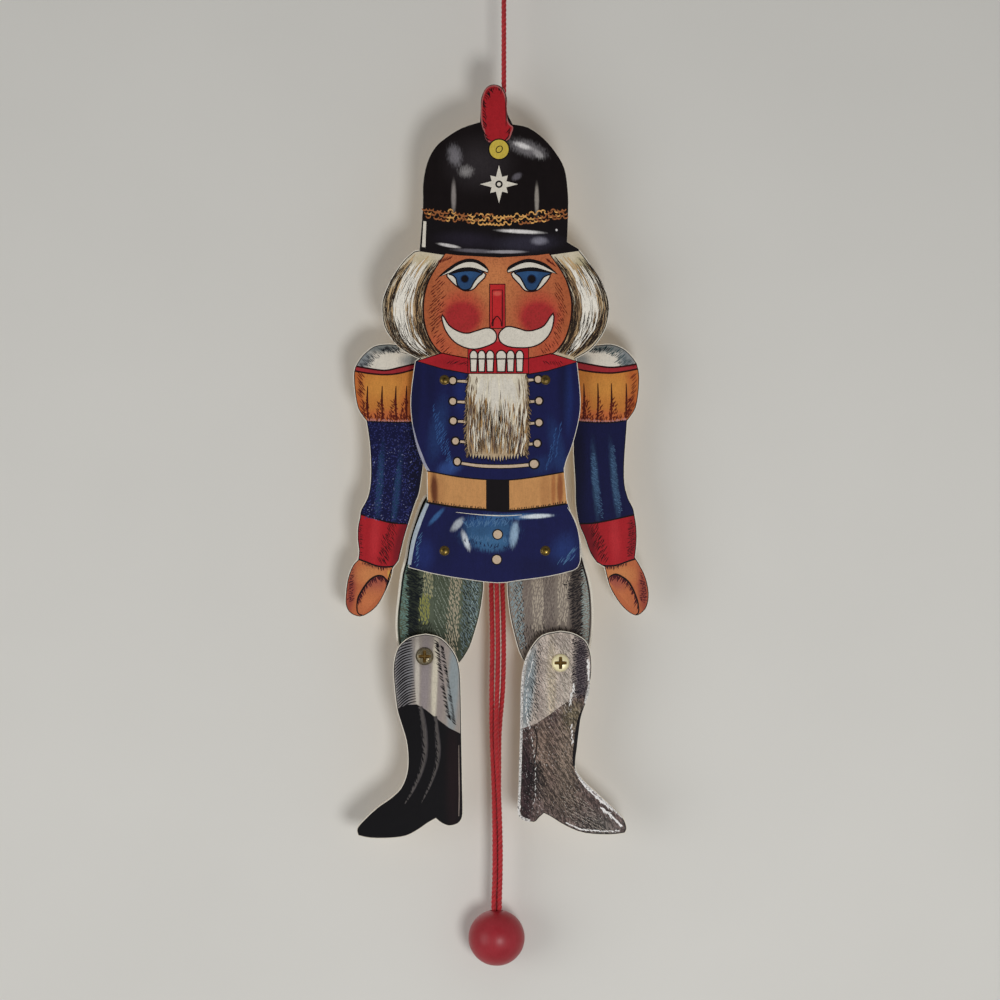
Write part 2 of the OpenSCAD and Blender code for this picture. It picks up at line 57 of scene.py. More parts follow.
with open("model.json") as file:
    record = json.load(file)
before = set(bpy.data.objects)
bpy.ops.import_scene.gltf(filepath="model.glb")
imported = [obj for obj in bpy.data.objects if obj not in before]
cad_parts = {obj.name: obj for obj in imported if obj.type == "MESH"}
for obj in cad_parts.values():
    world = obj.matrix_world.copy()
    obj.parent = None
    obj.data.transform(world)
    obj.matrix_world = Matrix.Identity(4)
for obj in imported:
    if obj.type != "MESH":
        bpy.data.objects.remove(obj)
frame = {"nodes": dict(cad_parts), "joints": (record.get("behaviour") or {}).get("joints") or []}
CAD_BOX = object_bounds()
NODES = frame["nodes"]
JOINTS = {joint["name"]: joint for joint in frame["joints"]}
MM = 0.001
SIDES = {"left": -1, "right": 1}


def pivot(name):
    """Where a joint's axis stands, in metres."""
    return Vector(JOINTS[name]["pos_m"])


SHOULDER = {side: pivot(side + "_shoulder") for side in SIDES}
HIP = {side: pivot(side + "_hip") for side in SIDES}
KNEE = {side: pivot(side + "_knee") for side in SIDES}
# The doll's own centre: midway between the shoulders
CENTRE = (SHOULDER["left"] + SHOULDER["right"]) / 2


def rgb(colour):
    """A colour as linear light: it comes as six hex digits, or as linear light already."""
    if not isinstance(colour, int):
        return tuple(colour)
    parts = [(colour >> shift & 255) / 255 for shift in (16, 8, 0)]
    return tuple(c / 12.92 if c <= 0.04045 else ((c + 0.055) / 1.055) ** 2.4 for c in parts)


# Settings

def colour_setting(label, text, code):
    return FloatVectorProperty(name=label, description=text, subtype="COLOR", size=3, min=0, max=1,
                               default=rgb(code))


class JackColours(bpy.types.PropertyGroup):
    """Colours of the pictures, the wood, the cord and the metal."""

    navy: colour_setting("Navy", "Tunic, skirt and sleeves", 0x171A48)
    scarlet: colour_setting("Scarlet", "Plume, collar, cuffs and mouth", 0xA82028)
    helmet: colour_setting("Helmet", "Dome of the helmet", 0x120B0C)
    ink: colour_setting("Ink", "Outlines and hatching", 0x120D10)
    cream: colour_setting("Cream", "Moustache, brows, teeth and bare picture", 0xDCD5C7)
    skin: colour_setting("Skin", "Face and hands", 0xBA6842)
    hair: colour_setting("Hair", "Hair and beard", 0xD0C4AC)
    tassel: colour_setting("Tassels", "Fringe of the shoulder pieces", 0xC27A38)
    ochre: colour_setting("Belt", "Leather of the belt", 0xC48E58)
    button: colour_setting("Buttons", "Buttons and their bars", 0xC6AF96)
    wood: colour_setting("Wood", "Birch plywood of the boards", 0xD9BF96)
    cord: colour_setting("Cord", "Twisted red cord", 0xC81C26)
    ball: colour_setting("Ball", "Lacquer of the pull ball", 0x8E1420)
    brass: colour_setting("Brass", "Rivets and knee screws", 0xC9A552)


class JackSizes(bpy.types.PropertyGroup):
    """Sizes of the paint layers and the cord's lay."""

    margin: FloatProperty(name="Margin", description="Bare picture outside the printed outline",
                          default=0.35 * MM, min=0.1 * MM, max=1 * MM, unit="LENGTH")
    outline: FloatProperty(name="Outline", description="Width of the black printed outline",
                           default=0.35 * MM, min=0.1 * MM, max=1 * MM, unit="LENGTH")
    layer: FloatProperty(name="Layer", description="Step between one layer of paint and the next",
                         default=0.02 * MM, min=0.01 * MM, max=0.05 * MM, unit="LENGTH")
    lay: FloatProperty(name="Lay", description="Length of one full turn of the cord's strands",
                       default=6.4 * MM, min=3 * MM, max=12 * MM, unit="LENGTH")
    plies: IntProperty(name="Plies", description="Strands twisted into the cord", default=3, min=2, max=4)


def settings():
    return bpy.context.scene.jack_colours, bpy.context.scene.jack_sizes


# Node trees

class Tree:
    """Writes nodes into a shader tree; an input is a number, a colour or another node's output."""

    def __init__(self, tree):
        self.tree = tree

    def node(self, kind, **values):
        made = self.tree.nodes.new(kind)
        for key, value in values.items():
            setattr(made, key, value)
        return made

    def put(self, socket, value):
        if isinstance(value, bpy.types.NodeSocket):
            self.tree.links.new(value, socket)
        elif socket.type == "RGBA":
            socket.default_value = (*rgb(value), 1)
        else:
            socket.default_value = value

    def math(self, operation, *values, clamp=False):
        made = self.node("ShaderNodeMath", operation=operation, use_clamp=clamp)
        for socket, value in zip(made.inputs, values):
            self.put(socket, value)
        return made.outputs[0]

    def vector(self, operation, *values):
        made = self.node("ShaderNodeVectorMath", operation=operation)
        for socket, value in zip(made.inputs, values):
            self.put(socket, value)
        return made.outputs["Value" if operation == "LENGTH" else "Vector"]

    def mix(self, factor, first, second, blend="MIX"):
        made = self.node("ShaderNodeMix", data_type="RGBA", blend_type=blend)
        self.put(made.inputs[0], factor)
        self.put(made.inputs[6], first)
        self.put(made.inputs[7], second)
        return made.outputs[2]

    def noise(self, place, scale, detail=2.0, roughness=0.5, distortion=0.0):
        made = self.node("ShaderNodeTexNoise")
        for name, value in (("Vector", place), ("Scale", scale), ("Detail", detail),
                            ("Roughness", roughness), ("Distortion", distortion)):
            self.put(made.inputs[name], value)
        return made.outputs["Fac"]

    def grain(self, place, stretch, *rest):
        """Noise with another fineness along each axis."""
        return self.noise(self.vector("MULTIPLY", place, stretch), 1.0, *rest)

    def turned(self, place, angle):
        made = self.node("ShaderNodeVectorRotate", rotation_type="Y_AXIS")
        self.put(made.inputs["Vector"], place)
        self.put(made.inputs["Angle"], angle)
        return made.outputs[0]

    def ramp(self, value, low, high, bottom=0.0, top=1.0, smooth=True):
        made = self.node("ShaderNodeMapRange", interpolation_type="SMOOTHSTEP" if smooth else "LINEAR")
        for socket, number in zip(made.inputs, (value, low, high, bottom, top)):
            self.put(socket, number)
        return made.outputs["Result"]

    def use(self, group, **values):
        made = self.node("ShaderNodeGroup", node_tree=group)
        for name, value in values.items():
            self.put(made.inputs[name.replace("_", " ").title()], value)
        return made.outputs


def new_group(name, inputs, outputs):
    """An empty node group, with its tree writer and the sockets of its two ends."""
    tree = bpy.data.node_groups.new(name, "ShaderNodeTree")
    for label, value in inputs:
        kind = "NodeSocketVector" if isinstance(value, tuple) else "NodeSocketFloat"
        tree.interface.new_socket(label, in_out="INPUT", socket_type=kind).default_value = value
    for label in outputs:
        tree.interface.new_socket(label, in_out="OUTPUT", socket_type="NodeSocketFloat")
    start, end = tree.nodes.new("NodeGroupInput"), tree.nodes.new("NodeGroupOutput")
    return Tree(tree), start.outputs, end.inputs


def group_once(name, build):
    return bpy.data.node_groups.get(name) or build(name)


def soft_spot_group(name="Soft Spot"):
    """An oval brush mark, in millimetres: 1 inside and 0 outside, with a soft and ragged edge."""
    far = (0.0, 0.0, 0.0)
    t, given, out = new_group(name, [("Position", far), ("Centre", far), ("Half Size", (1.0, 1.0, 1.0)),
                                     ("Turn", 0.0), ("Softness", 0.5), ("Ragged", 0.0)], ["Mask"])
    offset = t.vector("SUBTRACT", given["Position"], given["Centre"])
    turned = t.turned(offset, given["Turn"])
    radius = t.vector("LENGTH", t.vector("DIVIDE", turned, given["Half Size"]))
    hairs = t.grain(given["Position"], (2.6, 0.0, 0.45), 3.0)
    wander = t.math("MULTIPLY", t.math("SUBTRACT", hairs, 0.5), given["Ragged"])
    t.put(out["Mask"], t.ramp(t.math("ADD", radius, wander), t.math("ADD", 1.0, given["Softness"]),
                              t.math("SUBTRACT", 1.0, given["Softness"])))
    return t.tree


def brush_hairs_group(name="Brush Hairs"):
    """Fine streaks of a dry brush, turned to its direction, from 0 to 1."""
    t, given, out = new_group(name, [("Position", (0.0, 0.0, 0.0)), ("Turn", 0.0), ("Fineness", 2.0)],
                              ["Value"])
    turned = t.turned(given["Position"], given["Turn"])
    stretched = t.vector("MULTIPLY", turned, (1.0, 0.0, 0.16))
    fine = t.noise(stretched, given["Fineness"], 4.0, 0.65)
    broad = t.noise(stretched, t.math("MULTIPLY", given["Fineness"], 0.22), 2.0)
    t.put(out["Value"], t.math("MULTIPLY_ADD", fine, 0.65, t.math("MULTIPLY", broad, 0.35)))
    return t.tree


def print_tooth_group(name="Print Tooth"):
    """Grain of the printed paper under its clear coat: a tone from 0 to 1, dark grit and a height."""
    t, given, out = new_group(name, [("Position", (0.0, 0.0, 0.0))], ["Tone", "Grit", "Height"])
    fine = t.noise(given["Position"], 3.4, 3.0, 0.6)
    coarse = t.noise(given["Position"], 0.35, 3.0, 0.55)
    t.put(out["Tone"], t.math("MULTIPLY_ADD", fine, 0.6, t.math("MULTIPLY", coarse, 0.4)))
    grit = t.noise(given["Position"], 1.5, 3.0, 0.7)
    t.put(out["Grit"], t.ramp(grit, 0.47, 0.62))
    t.put(out["Height"], t.math("MULTIPLY_ADD", coarse, 0.7, t.math("MULTIPLY", fine, 0.12)))
    return t.tree


def crinkle_group(name="Crinkle"):
    """A clear film creased along a direction: painted light and shade over its folds, painted shade in its
    creases, painted glints on its ridges, and its height.
    """
    t, given, out = new_group(name, [("Position", (0.0, 0.0, 0.0)), ("Turn", 0.0)],
                              ["Tone", "Ridge Glint", "Height"])
    turned = t.turned(given["Position"], given["Turn"])
    fine = t.grain(turned, (1.3, 0.0, 0.45), 5.0, 0.75, 0.8)
    folds = t.grain(turned, (0.4, 0.0, 0.14), 4.0, 0.6, 1.4)
    patches = t.noise(given["Position"], 0.13, 3.0)
    # Painted shade along the creases of the folds
    crease = t.ramp(t.math("ABSOLUTE", t.math("SUBTRACT", folds, 0.5)), 0.035, 0.0)
    tone = t.math("MULTIPLY_ADD", t.ramp(fine, 0.36, 0.66), 0.65,
                  t.math("MULTIPLY", t.ramp(folds, 0.36, 0.64), 0.35))
    t.put(out["Tone"], t.math("SUBTRACT", tone, t.math("MULTIPLY", crease, 0.3)))
    # Painted glints on the film's ridges, gathered in patches
    sparks = t.grain(turned, (2.2, 0.0, 0.8), 3.0, 0.6)
    t.put(out["Ridge Glint"], t.math("MULTIPLY", t.ramp(sparks, 0.6, 0.68), t.ramp(patches, 0.38, 0.52)))
    t.put(out["Height"], t.math("MULTIPLY_ADD", folds, 0.6, fine))
    return t.tree


def start_material(name, roughness, metallic=0.0, coat=0.0, coat_roughness=0.2):
    """A material with its tree writer, its shader and its surface's place in millimetres."""
    material = bpy.data.materials.new(name)
    material.use_nodes = True
    t = Tree(material.node_tree)
    shader = material.node_tree.nodes["Principled BSDF"]
    for socket, value in (("Roughness", roughness), ("Metallic", metallic), ("Coat Weight", coat),
                          ("Coat Roughness", coat_roughness)):
        shader.inputs[socket].default_value = value
    place = t.vector("MULTIPLY", t.node("ShaderNodeTexCoord").outputs["Object"], (1000.0,) * 3)
    return material, t, shader, place


def bump(t, shader, height, distance, strength=1.0):
    made = t.node("ShaderNodeBump")
    made.inputs["Distance"].default_value = distance
    made.inputs["Strength"].default_value = strength
    t.put(made.inputs["Height"], height)
    t.put(shader.inputs["Normal"], made.outputs[0])


def shade(t, colour, value, low, high):
    """The colour, darker where the value is near 0 and lighter where it is near 1."""
    grey = t.ramp(value, 0.25, 0.75, low, high)
    return t.mix(1.0, colour, t.vector("MULTIPLY", (1.0, 1.0, 1.0), grey), "MULTIPLY")


# A brush mark on a picture is a row: its centre and half sizes in the picture's millimetres, its colour,
# then its turn, softness, raggedness and strength, of which the last ones may be left out
SPOT_REST = (0, 0.5, 0.0, 1.0)
# A mark's half size in depth, where it has no end
FAR = 1e6
# How light the grit in a paint is, beside the paint itself
GRIT_TONE = 0.15


def painted(name, colour, picture, spots=(), hairs=0.2, turn=0.0, grit=0.15, roughness=0.5,
            coat=0.05, fineness=2.0, crinkle=0.0):
    """Printed paint: brush marks over a base colour, dry streaks, grain and a clear coat, or a film with
    painted light and shade over its creases and painted glints on its ridges.
    """
    material, t, shader, place = start_material(name, roughness, coat=coat)
    colour = rgb(colour)
    shader.inputs["Specular IOR Level"].default_value = 0.1
    spot_group = group_once("Soft Spot", soft_spot_group)
    tint = colour
    for spot in spots:
        x, z, wide, high, code, lean, soft, ragged, strength = (*spot, *SPOT_REST[len(spot) - 5:])
        mask = t.use(spot_group, position=place, centre=(picture.across(x), 0.0, picture.up(z)),
                     half_size=(wide, FAR, high), turn=math.radians(lean) * picture.side, softness=soft,
                     ragged=ragged)["Mask"]
        tint = t.mix(t.math("MULTIPLY", mask, strength), tint, code)
    streaks = t.use(group_once("Brush Hairs", brush_hairs_group), position=place,
                    turn=math.radians(turn) * picture.side, fineness=fineness)["Value"]
    tint = shade(t, tint, streaks, 1 - hairs, 1 + hairs)
    tooth = t.use(group_once("Print Tooth", print_tooth_group), position=place)
    tint = shade(t, tint, tooth["Tone"], 0.9, 1.08)
    tint = t.mix(t.math("MULTIPLY", tooth["Grit"], grit), tint, tuple(c * GRIT_TONE for c in colour))
    t.put(shader.inputs["Roughness"], t.ramp(tooth["Tone"], 0.2, 0.8, roughness - 0.06, roughness + 0.1))
    height = tooth["Height"]
    if crinkle:
        shader.inputs["Coat Weight"].default_value = 0.9 * crinkle
        shader.inputs["Coat Roughness"].default_value = 0.14
        film = t.use(group_once("Crinkle", crinkle_group), position=place,
                     turn=math.radians(turn) * picture.side)
        # The film's folds and creases are painted lighter and darker, and its ridges get painted glints; its
        # coat and height are real
        tint = shade(t, tint, film["Tone"], 1 - 1.4 * crinkle, 1 + 1.2 * crinkle)
        tint = t.mix(t.math("MULTIPLY", film["Ridge Glint"], 1.6 * crinkle, clamp=True), tint, 0xE6E2DE)
        height = t.math("MULTIPLY_ADD", film["Height"], 12 * crinkle, height)
    t.put(shader.inputs["Base Color"], tint)
    bump(t, shader, height, 0.00006, 0.5)
    return material


# Flat drawing, in millimetres: an outline is a list of (x, z) points

def smooth(points, steps=4, closed=False):
    """Points on a round curve through the given points."""
    count = len(points)
    made = []
    for i in range(count if closed else count - 1):
        ids = [i - 1, i, i + 1, i + 2]
        ids = [k % count for k in ids] if closed else [min(max(k, 0), count - 1) for k in ids]
        a, b, c, d = (points[k] for k in ids)
        for j in range(steps):
            s = j / steps
            made.append(tuple(0.5 * (2 * q + s * (r - p) + s * s * (2 * p - 5 * q + 4 * r - w)
                                     + s ** 3 * (3 * q - p - 3 * r + w)) for p, q, r, w in zip(a, b, c, d)))
    return made if closed else made + [tuple(points[-1])]


def blob(points, steps=4):
    return smooth(points, steps, closed=True)


def oval(x, z, wide, high=None, turn=0.0, count=20):
    high = wide if high is None else high
    c, s = math.cos(math.radians(turn)), math.sin(math.radians(turn))
    spun = [(wide * math.cos(a), high * math.sin(a)) for a in (math.tau * i / count for i in range(count))]
    return [(x + c * u - s * v, z + s * u + c * v) for u, v in spun]


def area(outline):
    return sum(a[0] * b[1] - b[0] * a[1] for a, b in zip(outline, outline[1:] + outline[:1])) / 2


def inset(outline, distance):
    """The outline moved in by a distance, or out where that is negative; a clockwise one moves oppositely."""
    count = len(outline)
    made = []
    for i, (x, z) in enumerate(outline):
        before, after = outline[i - 1], outline[(i + 1) % count]
        ux, uz = unit(x - before[0], z - before[1])
        vx, vz = unit(after[0] - x, after[1] - z)
        nx, nz = unit(-uz - vz, ux + vx)
        reach = distance / max(nx * -uz + nz * ux, 0.5)
        made.append((x + nx * reach, z + nz * reach))
    return made


def grown(outline, distance):
    return inset(outline if area(outline) > 0 else outline[::-1], -distance)


def unit(x, z):
    length = math.hypot(x, z) or 1.0
    return x / length, z / length


def height_at(curve, x):
    """Height of a left-to-right curve, which runs on level past its ends."""
    if x <= curve[0][0]:
        return curve[0][1]
    for (xa, za), (xb, zb) in zip(curve, curve[1:]):
        if x <= xb:
            return za + (zb - za) * (x - xa) / (xb - xa)
    return curve[-1][1]


def cut(outline, curve, keep):
    """The part of an outline above a left-to-right curve, where keep is 1, or below it, where keep is -1."""
    above = [keep * (z - height_at(curve, x)) > 0 for x, z in outline]
    count = len(outline)
    if all(above):
        return list(outline)
    first = next(i for i in range(count) if above[i] and not above[i - 1])
    made, left_at = [], None
    for k in range(count):
        i, j = (first + k) % count, (first + k + 1) % count
        p, q = outline[i], outline[j]
        if above[i]:
            made.append(p)
        if above[i] == above[j]:
            continue
        low, high = 0.0, 1.0
        for _ in range(24):
            mid = (low + high) / 2
            x, z = p[0] + (q[0] - p[0]) * mid, p[1] + (q[1] - p[1]) * mid
            if (keep * (z - height_at(curve, x)) > 0) == above[i]:
                low = mid
            else:
                high = mid
        crossing = (p[0] + (q[0] - p[0]) * low, p[1] + (q[1] - p[1]) * low)
        if above[i]:
            left_at = crossing[0]
        else:
            span = sorted((left_at, crossing[0]))
            between = [c for c in curve if span[0] < c[0] < span[1]]
            made.extend(between if left_at < crossing[0] else between[::-1])
        made.append(crossing)
    return made


def inside(outline, point):
    x, z = point
    odd = False
    for (xa, za), (xb, zb) in zip(outline, outline[1:] + outline[:1]):
        if (za > z) != (zb > z) and x < xa + (xb - xa) * (z - za) / (zb - za):
            odd = not odd
    return odd


def shifted(curve, dx=0.0, dz=0.0):
    return [(x + dx, z + dz) for x, z in curve]


def ribbon(line, *widths):
    """A brush line: its width runs through the given widths from its start to its end."""
    left, right = [], []
    for i, (x, z) in enumerate(line):
        a, b = line[max(i - 1, 0)], line[min(i + 1, len(line) - 1)]
        ux, uz = unit(b[0] - a[0], b[1] - a[1])
        at = i / (len(line) - 1) * (len(widths) - 1)
        k = min(int(at), len(widths) - 2) if len(widths) > 1 else 0
        w = widths[k] + (widths[k + 1] - widths[k]) * (at - k) if len(widths) > 1 else widths[0]
        left.append((x - uz * w / 2, z + ux * w / 2))
        right.append((x + uz * w / 2, z - ux * w / 2))
    return left + right[::-1]


def along(line, t):
    """The point at a share t of a line's points."""
    at = min(max(t, 0.0), 1.0) * (len(line) - 1)
    i = min(int(at), len(line) - 2)
    return tuple(p + (q - p) * (at - i) for p, q in zip(line[i], line[i + 1]))


def leaf(x, z, turn, length, width, bend=0.0):
    """A short stroke that starts at a point, swells and runs out in a tip."""
    c, s = math.cos(math.radians(turn)), math.sin(math.radians(turn))
    line = [(0.0, 0.0), (0.3, bend * 0.8), (0.65, bend), (1.0, 0.0)]
    return ribbon([(x + length * (c * u - s * v), z + length * (s * u + c * v)) for u, v in line],
                  width * 0.45, width, width * 0.8, width * 0.12)


def hatch(rng, line, count, turn, length, width=0.3, spread=0.0, wobble=6.0, bend=0.05, end_turn=None):
    """Strokes whose roots follow a line, each a little different."""
    made = []
    for i in range(count):
        t = (i + rng.uniform(0.2, 0.8)) / count
        x, z = along(line, t)
        lean = turn + ((turn if end_turn is None else end_turn) - turn) * t
        made.append(leaf(x + rng.uniform(-spread, spread), z + rng.uniform(-spread, spread) * 0.5,
                         lean + rng.gauss(0, wobble), length * rng.uniform(0.6, 1.25),
                         width * rng.uniform(0.7, 1.25), bend * rng.choice((-1, 1)) * rng.uniform(0.4, 1.4)))
    return made


def patch(rng, shape, turn, length, width, gap, wobble=6.0):
    """Parallel strokes, row beside row, that fill a shape."""
    c, s = math.cos(math.radians(turn)), math.sin(math.radians(turn))
    down = [x * c + z * s for x, z in shape]
    side = [z * c - x * s for x, z in shape]
    made = []
    v = min(side)
    while v < max(side):
        u = min(down) - length * rng.random()
        while u < max(down):
            x, z = u * c - v * s, u * s + v * c
            if inside(shape, (x + length * c / 2, z + length * s / 2)):
                made.append(leaf(x, z, turn + rng.gauss(0, wobble), length * rng.uniform(0.7, 1.25),
                                 width * rng.uniform(0.7, 1.25), rng.uniform(-0.06, 0.06)))
            u += length * rng.uniform(0.75, 1.1)
        v += gap * rng.uniform(0.7, 1.3)
    return made


def dots(rng, shape, count, size):
    """Specks strewn over a shape."""
    xs, zs = zip(*shape)
    spots = [(rng.uniform(min(xs), max(xs)), rng.uniform(min(zs), max(zs))) for _ in range(count)]
    return [oval(x, z, size * rng.uniform(0.7, 1.5), size * rng.uniform(0.4, 0.9), rng.uniform(0, 180), 6)
            for x, z in spots if inside(shape, (x, z))]


def strands(rng, first, second, count, across, start, length, width, wave=0.03):
    """Hairs that follow the flow between two guide lines, from a share of their length on."""
    made = []
    for _ in range(count):
        u, t = rng.uniform(*across), rng.uniform(*start)
        reach = length * rng.uniform(0.5, 1.3)
        line = []
        for k in range(5):
            share = t + reach * k / 4
            side = u + wave * math.sin(3.1 * k / 4 + rng.uniform(0, 0.8))
            a, b = along(first, share), along(second, share)
            line.append(tuple(p + (q - p) * side for p, q in zip(a, b)))
        if math.dist(line[0], line[-1]) > 0.6 and math.dist(line[-2], line[-1]) > 0.05:
            made.append(ribbon(line, width * 0.3, width * rng.uniform(0.8, 1.3), width * 0.1))
    return made


# Meshes

# Points nearer than this are one: on the given nodes, and on the solids spun here
NEAR, WELD = 1e-6, 1e-7


def new_object(name, data):
    made = bpy.data.objects.new(name, data)
    bpy.context.scene.collection.objects.link(made)
    return made


def finish_mesh(bm, name, material, smooth_angle=None):
    mesh = bpy.data.meshes.new(name)
    bm.to_mesh(mesh)
    bm.free()
    if smooth_angle is not None:
        mesh.shade_smooth()
        mesh.set_sharp_from_angle(angle=math.radians(smooth_angle))
    mesh.materials.append(material)
    return new_object(name, mesh)


def applied(piece):
    """The piece with its modifiers made part of its mesh."""
    bpy.context.view_layer.update()
    ready = bpy.data.meshes.new_from_object(piece.evaluated_get(bpy.context.evaluated_depsgraph_get()))
    piece.modifiers.clear()
    piece.data = ready
    return piece


def place_piece(piece, body, slot, *replaced):
    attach(piece, body)
    if replaced:
        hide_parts(*replaced)
    return piece


# Layers over the bare picture: the black outline, then the ground colours; marks lie over both
OUTLINE, BASE = 1, 2
# How deep the layers' backs are sunk in the print, and how much deeper each next one, in layers
SUNK, SUNK_STEP = 0.4, 0.05
# How far a trimmed brush line may lap over the black line, in millimetres
LAP = 0.15
# Bare picture round a string's hole, in millimetres
HOLE_GAP = 0.8
# Share of a layer over which crossing marks are spread, and the step that keeps neighbours apart
SPREAD, GOLDEN = 0.8, 0.618


class Picture:
    """The picture on one board, drawn in millimetres: x outwards from the pivot and z up."""

    def __init__(self, node, body, origin, side, slot):
        self.node, self.body, self.origin, self.side, self.slot = node, body, origin, side, slot
        self.prefix = "" if body == "doll" else body.split("_")[0] + "_"
        self.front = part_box(node)[0].y
        self.loops = self.front_loops()
        self.outer = self.loops[0]

    def across(self, x):
        return self.origin.x / MM + self.side * x

    def up(self, z):
        return self.origin.z / MM + z

    def point(self, x, z, y):
        return Vector((self.across(x) * MM, y, self.up(z) * MM))

    def front_loops(self):
        """The front face's own outline, counter-clockwise, then its holes, clockwise."""
        bm = bmesh.new()
        bm.from_mesh(NODES[self.node].data)
        bmesh.ops.remove_doubles(bm, verts=bm.verts, dist=NEAR)
        flat = {f for f in bm.faces if all(abs(v.co.y - self.front) < NEAR for v in f.verts)}
        rim = [e for e in bm.edges if sum(f in flat for f in e.link_faces) == 1]
        loops = []
        while rim:
            start = rim.pop()
            chain = [start.verts[0], start.verts[1]]
            while chain[-1] is not chain[0]:
                step = next(e for e in rim if chain[-1] in e.verts)
                rim.remove(step)
                chain.append(step.other_vert(chain[-1]))
            loops.append([((v.co.x - self.origin.x) / MM * self.side, (v.co.z - self.origin.z) / MM)
                          for v in chain[:-1]])
        bm.free()
        loops.sort(key=lambda loop: -abs(area(loop)))
        return [loop if (area(loop) > 0) == (i == 0) else loop[::-1] for i, loop in enumerate(loops)]

    def thicken(self, bm, level, spread=0.0):
        """Flat faces at the back of a layer become closed sheets; a spread keeps marks that cross apart."""
        step = settings()[1].layer
        made = bmesh.ops.extrude_face_region(bm, geom=bm.faces[:])
        faces = [face for face in made["geom"] if isinstance(face, bmesh.types.BMFace)]
        for i, face in enumerate(faces):
            for vert in face.verts:
                vert.co.y = self.front - (level + spread * (i * GOLDEN % 1)) * step
        bmesh.ops.recalc_face_normals(bm, faces=bm.faces)

    def back_of(self, level):
        return self.front + (SUNK + SUNK_STEP * level) * settings()[1].layer

    def flat(self, name, colour, *spots, **more):
        return painted(self.prefix + name, colour, self, *spots, **more)

    def finish(self, bm, name, level, spread, paint, spots, more):
        """Makes a layer of a bmesh; its paint is a material, or a colour with its brush marks and finish."""
        if not isinstance(paint, bpy.types.Material):
            paint = self.flat(name + "_paint", paint, *spots, **more)
        self.thicken(bm, level, spread)
        return place_piece(finish_mesh(bm, self.prefix + name, paint), self.body, self.slot)

    def flood(self, name, loops, level, paint, *spots, **more):
        """A sheet of colour inside an outline and outside its holes."""
        bm = bmesh.new()
        for loop in loops:
            ring = [bm.verts.new(self.point(x, z, self.back_of(level))) for x, z in loop]
            for a, b in zip(ring, ring[1:] + ring[:1]):
                bm.edges.new((a, b))
        bmesh.ops.triangle_fill(bm, edges=bm.edges, use_beauty=True, normal=(0, -1, 0))
        return self.finish(bm, name, level, 0.0, paint, spots, more)

    def paint(self, name, outlines, level, paint, *spots, **more):
        """Marks of one colour, each inside its own simple outline."""
        bm = bmesh.new()
        for outline in filter(None, outlines):
            bm.faces.new([bm.verts.new(self.point(x, z, self.back_of(level))) for x, z in outline])
        return self.finish(bm, name, level, SPREAD if len(outlines) > 1 else 0.0, paint, spots, more)

    def marks(self, name, outlines, *rest, **more):
        """Paints the marks that lie wholly inside the black line."""
        return self.paint(name, self.within(outlines), *rest, **more)

    def line(self, name, curve, level, paint, *widths):
        """A brush line, as far as it lies inside the black line."""
        return self.paint(name, [ribbon(self.trimmed(curve), *widths)], level, paint)

    def outlined(self, name, shapes, level, ink, width, *rest, **more):
        """Filled shapes over a darker shape that is a little larger all round."""
        self.paint(name + "_ink", [grown(s, width) for s in shapes], level, ink)
        self.paint(name, shapes, level + 1, *rest, **more)

    def strips(self, name, rows, rng, level):
        """Rows of strokes, each just over the one before it."""
        for i, (x0, x1, x2, x3, z_top, z_low, code, turn, length, width, gap) in enumerate(rows):
            shape = [(x0, z_top), (x2, z_low), (x3, z_low), (x1, z_top)]
            self.marks(f"{name}_{i}", patch(rng, shape, turn, length, width, gap, 12), level + 0.04 * i,
                       code, hairs=0.25)

    def edge(self, extra=0.0):
        """The picture's outline inside the margin and the black line, with its holes."""
        sizes = settings()[1]
        gap = HOLE_GAP if self.body.endswith(("arm", "thigh")) else 0.0
        gaps = [0.0] + [gap] * (len(self.loops) - 1)
        return [inset(loop, (sizes.margin + sizes.outline) / MM + gap + extra) for gap,
                loop in zip(gaps, self.loops)]

    def region(self, top=None, bottom=None, extra=0.0):
        """The outline and holes inside the black line, between two left-to-right curves."""
        outer, *holes = self.edge(extra)
        if top:
            outer = cut(outer, top, -1)
        if bottom:
            outer = cut(outer, bottom, 1)
        inner = []
        for hole in holes:
            x = sum(p[0] for p in hole) / len(hole)
            z = sum(p[1] for p in hole) / len(hole)
            under = not top or z < height_at(top, x)
            over = not bottom or z > height_at(bottom, x)
            if under and over:
                inner.append(hole)
        return [outer, *inner]

    def within(self, marks):
        """The marks that lie wholly inside the black line."""
        rim = self.edge()[0]
        return [mark for mark in marks if all(inside(rim, point) for point in mark)]

    def trimmed(self, curve, steps=10):
        """The stretch of a smoothed curve that lies inside the black line."""
        rim = self.edge(-LAP)[0]
        return [point for point in smooth(curve, steps) if inside(rim, point)]

    def rim(self, depth, keep):
        """The points of the moved-in outline that are kept, from the top down."""
        return sorted(filter(keep, inset(self.outer, depth)), key=lambda point: -point[1])

    def band(self, name, curve, width, level, material):
        """A line of even height from edge to edge of the picture."""
        curve = smooth(curve)
        loops = self.region(shifted(curve, 0, width / 2), shifted(curve, 0, -width / 2))
        return self.flood(name, loops[:1], level, material)

    def ground(self):
        """The bare picture keeps its own solid; the black ink covers it up to the margin."""
        colours, sizes = settings()
        NODES[self.node].data.materials.clear()
        paper = bpy.data.materials.get("bare_picture") or painted(
            "bare_picture", colours.cream, self, hairs=0.03)
        NODES[self.node].data.materials.append(paper)
        loops = [inset(loop, sizes.margin / MM) for loop in self.loops]
        name = self.node.removeprefix(self.prefix).replace("print", "outline_ink")
        self.flood(name, loops, OUTLINE, ink_material(self))


def ink_material(picture):
    return bpy.data.materials.get("ink") or painted("ink", settings()[0].ink, picture, hairs=0.15)


# Stage

VIEW_HEIGHT = 0.45
# The picture's middle from the doll's centre, across and up
VIEW_SHIFT = (0.00225, -0.0541)
LENS, SENSOR = 160.0, 36.0
WALL_GAP = 0.0015


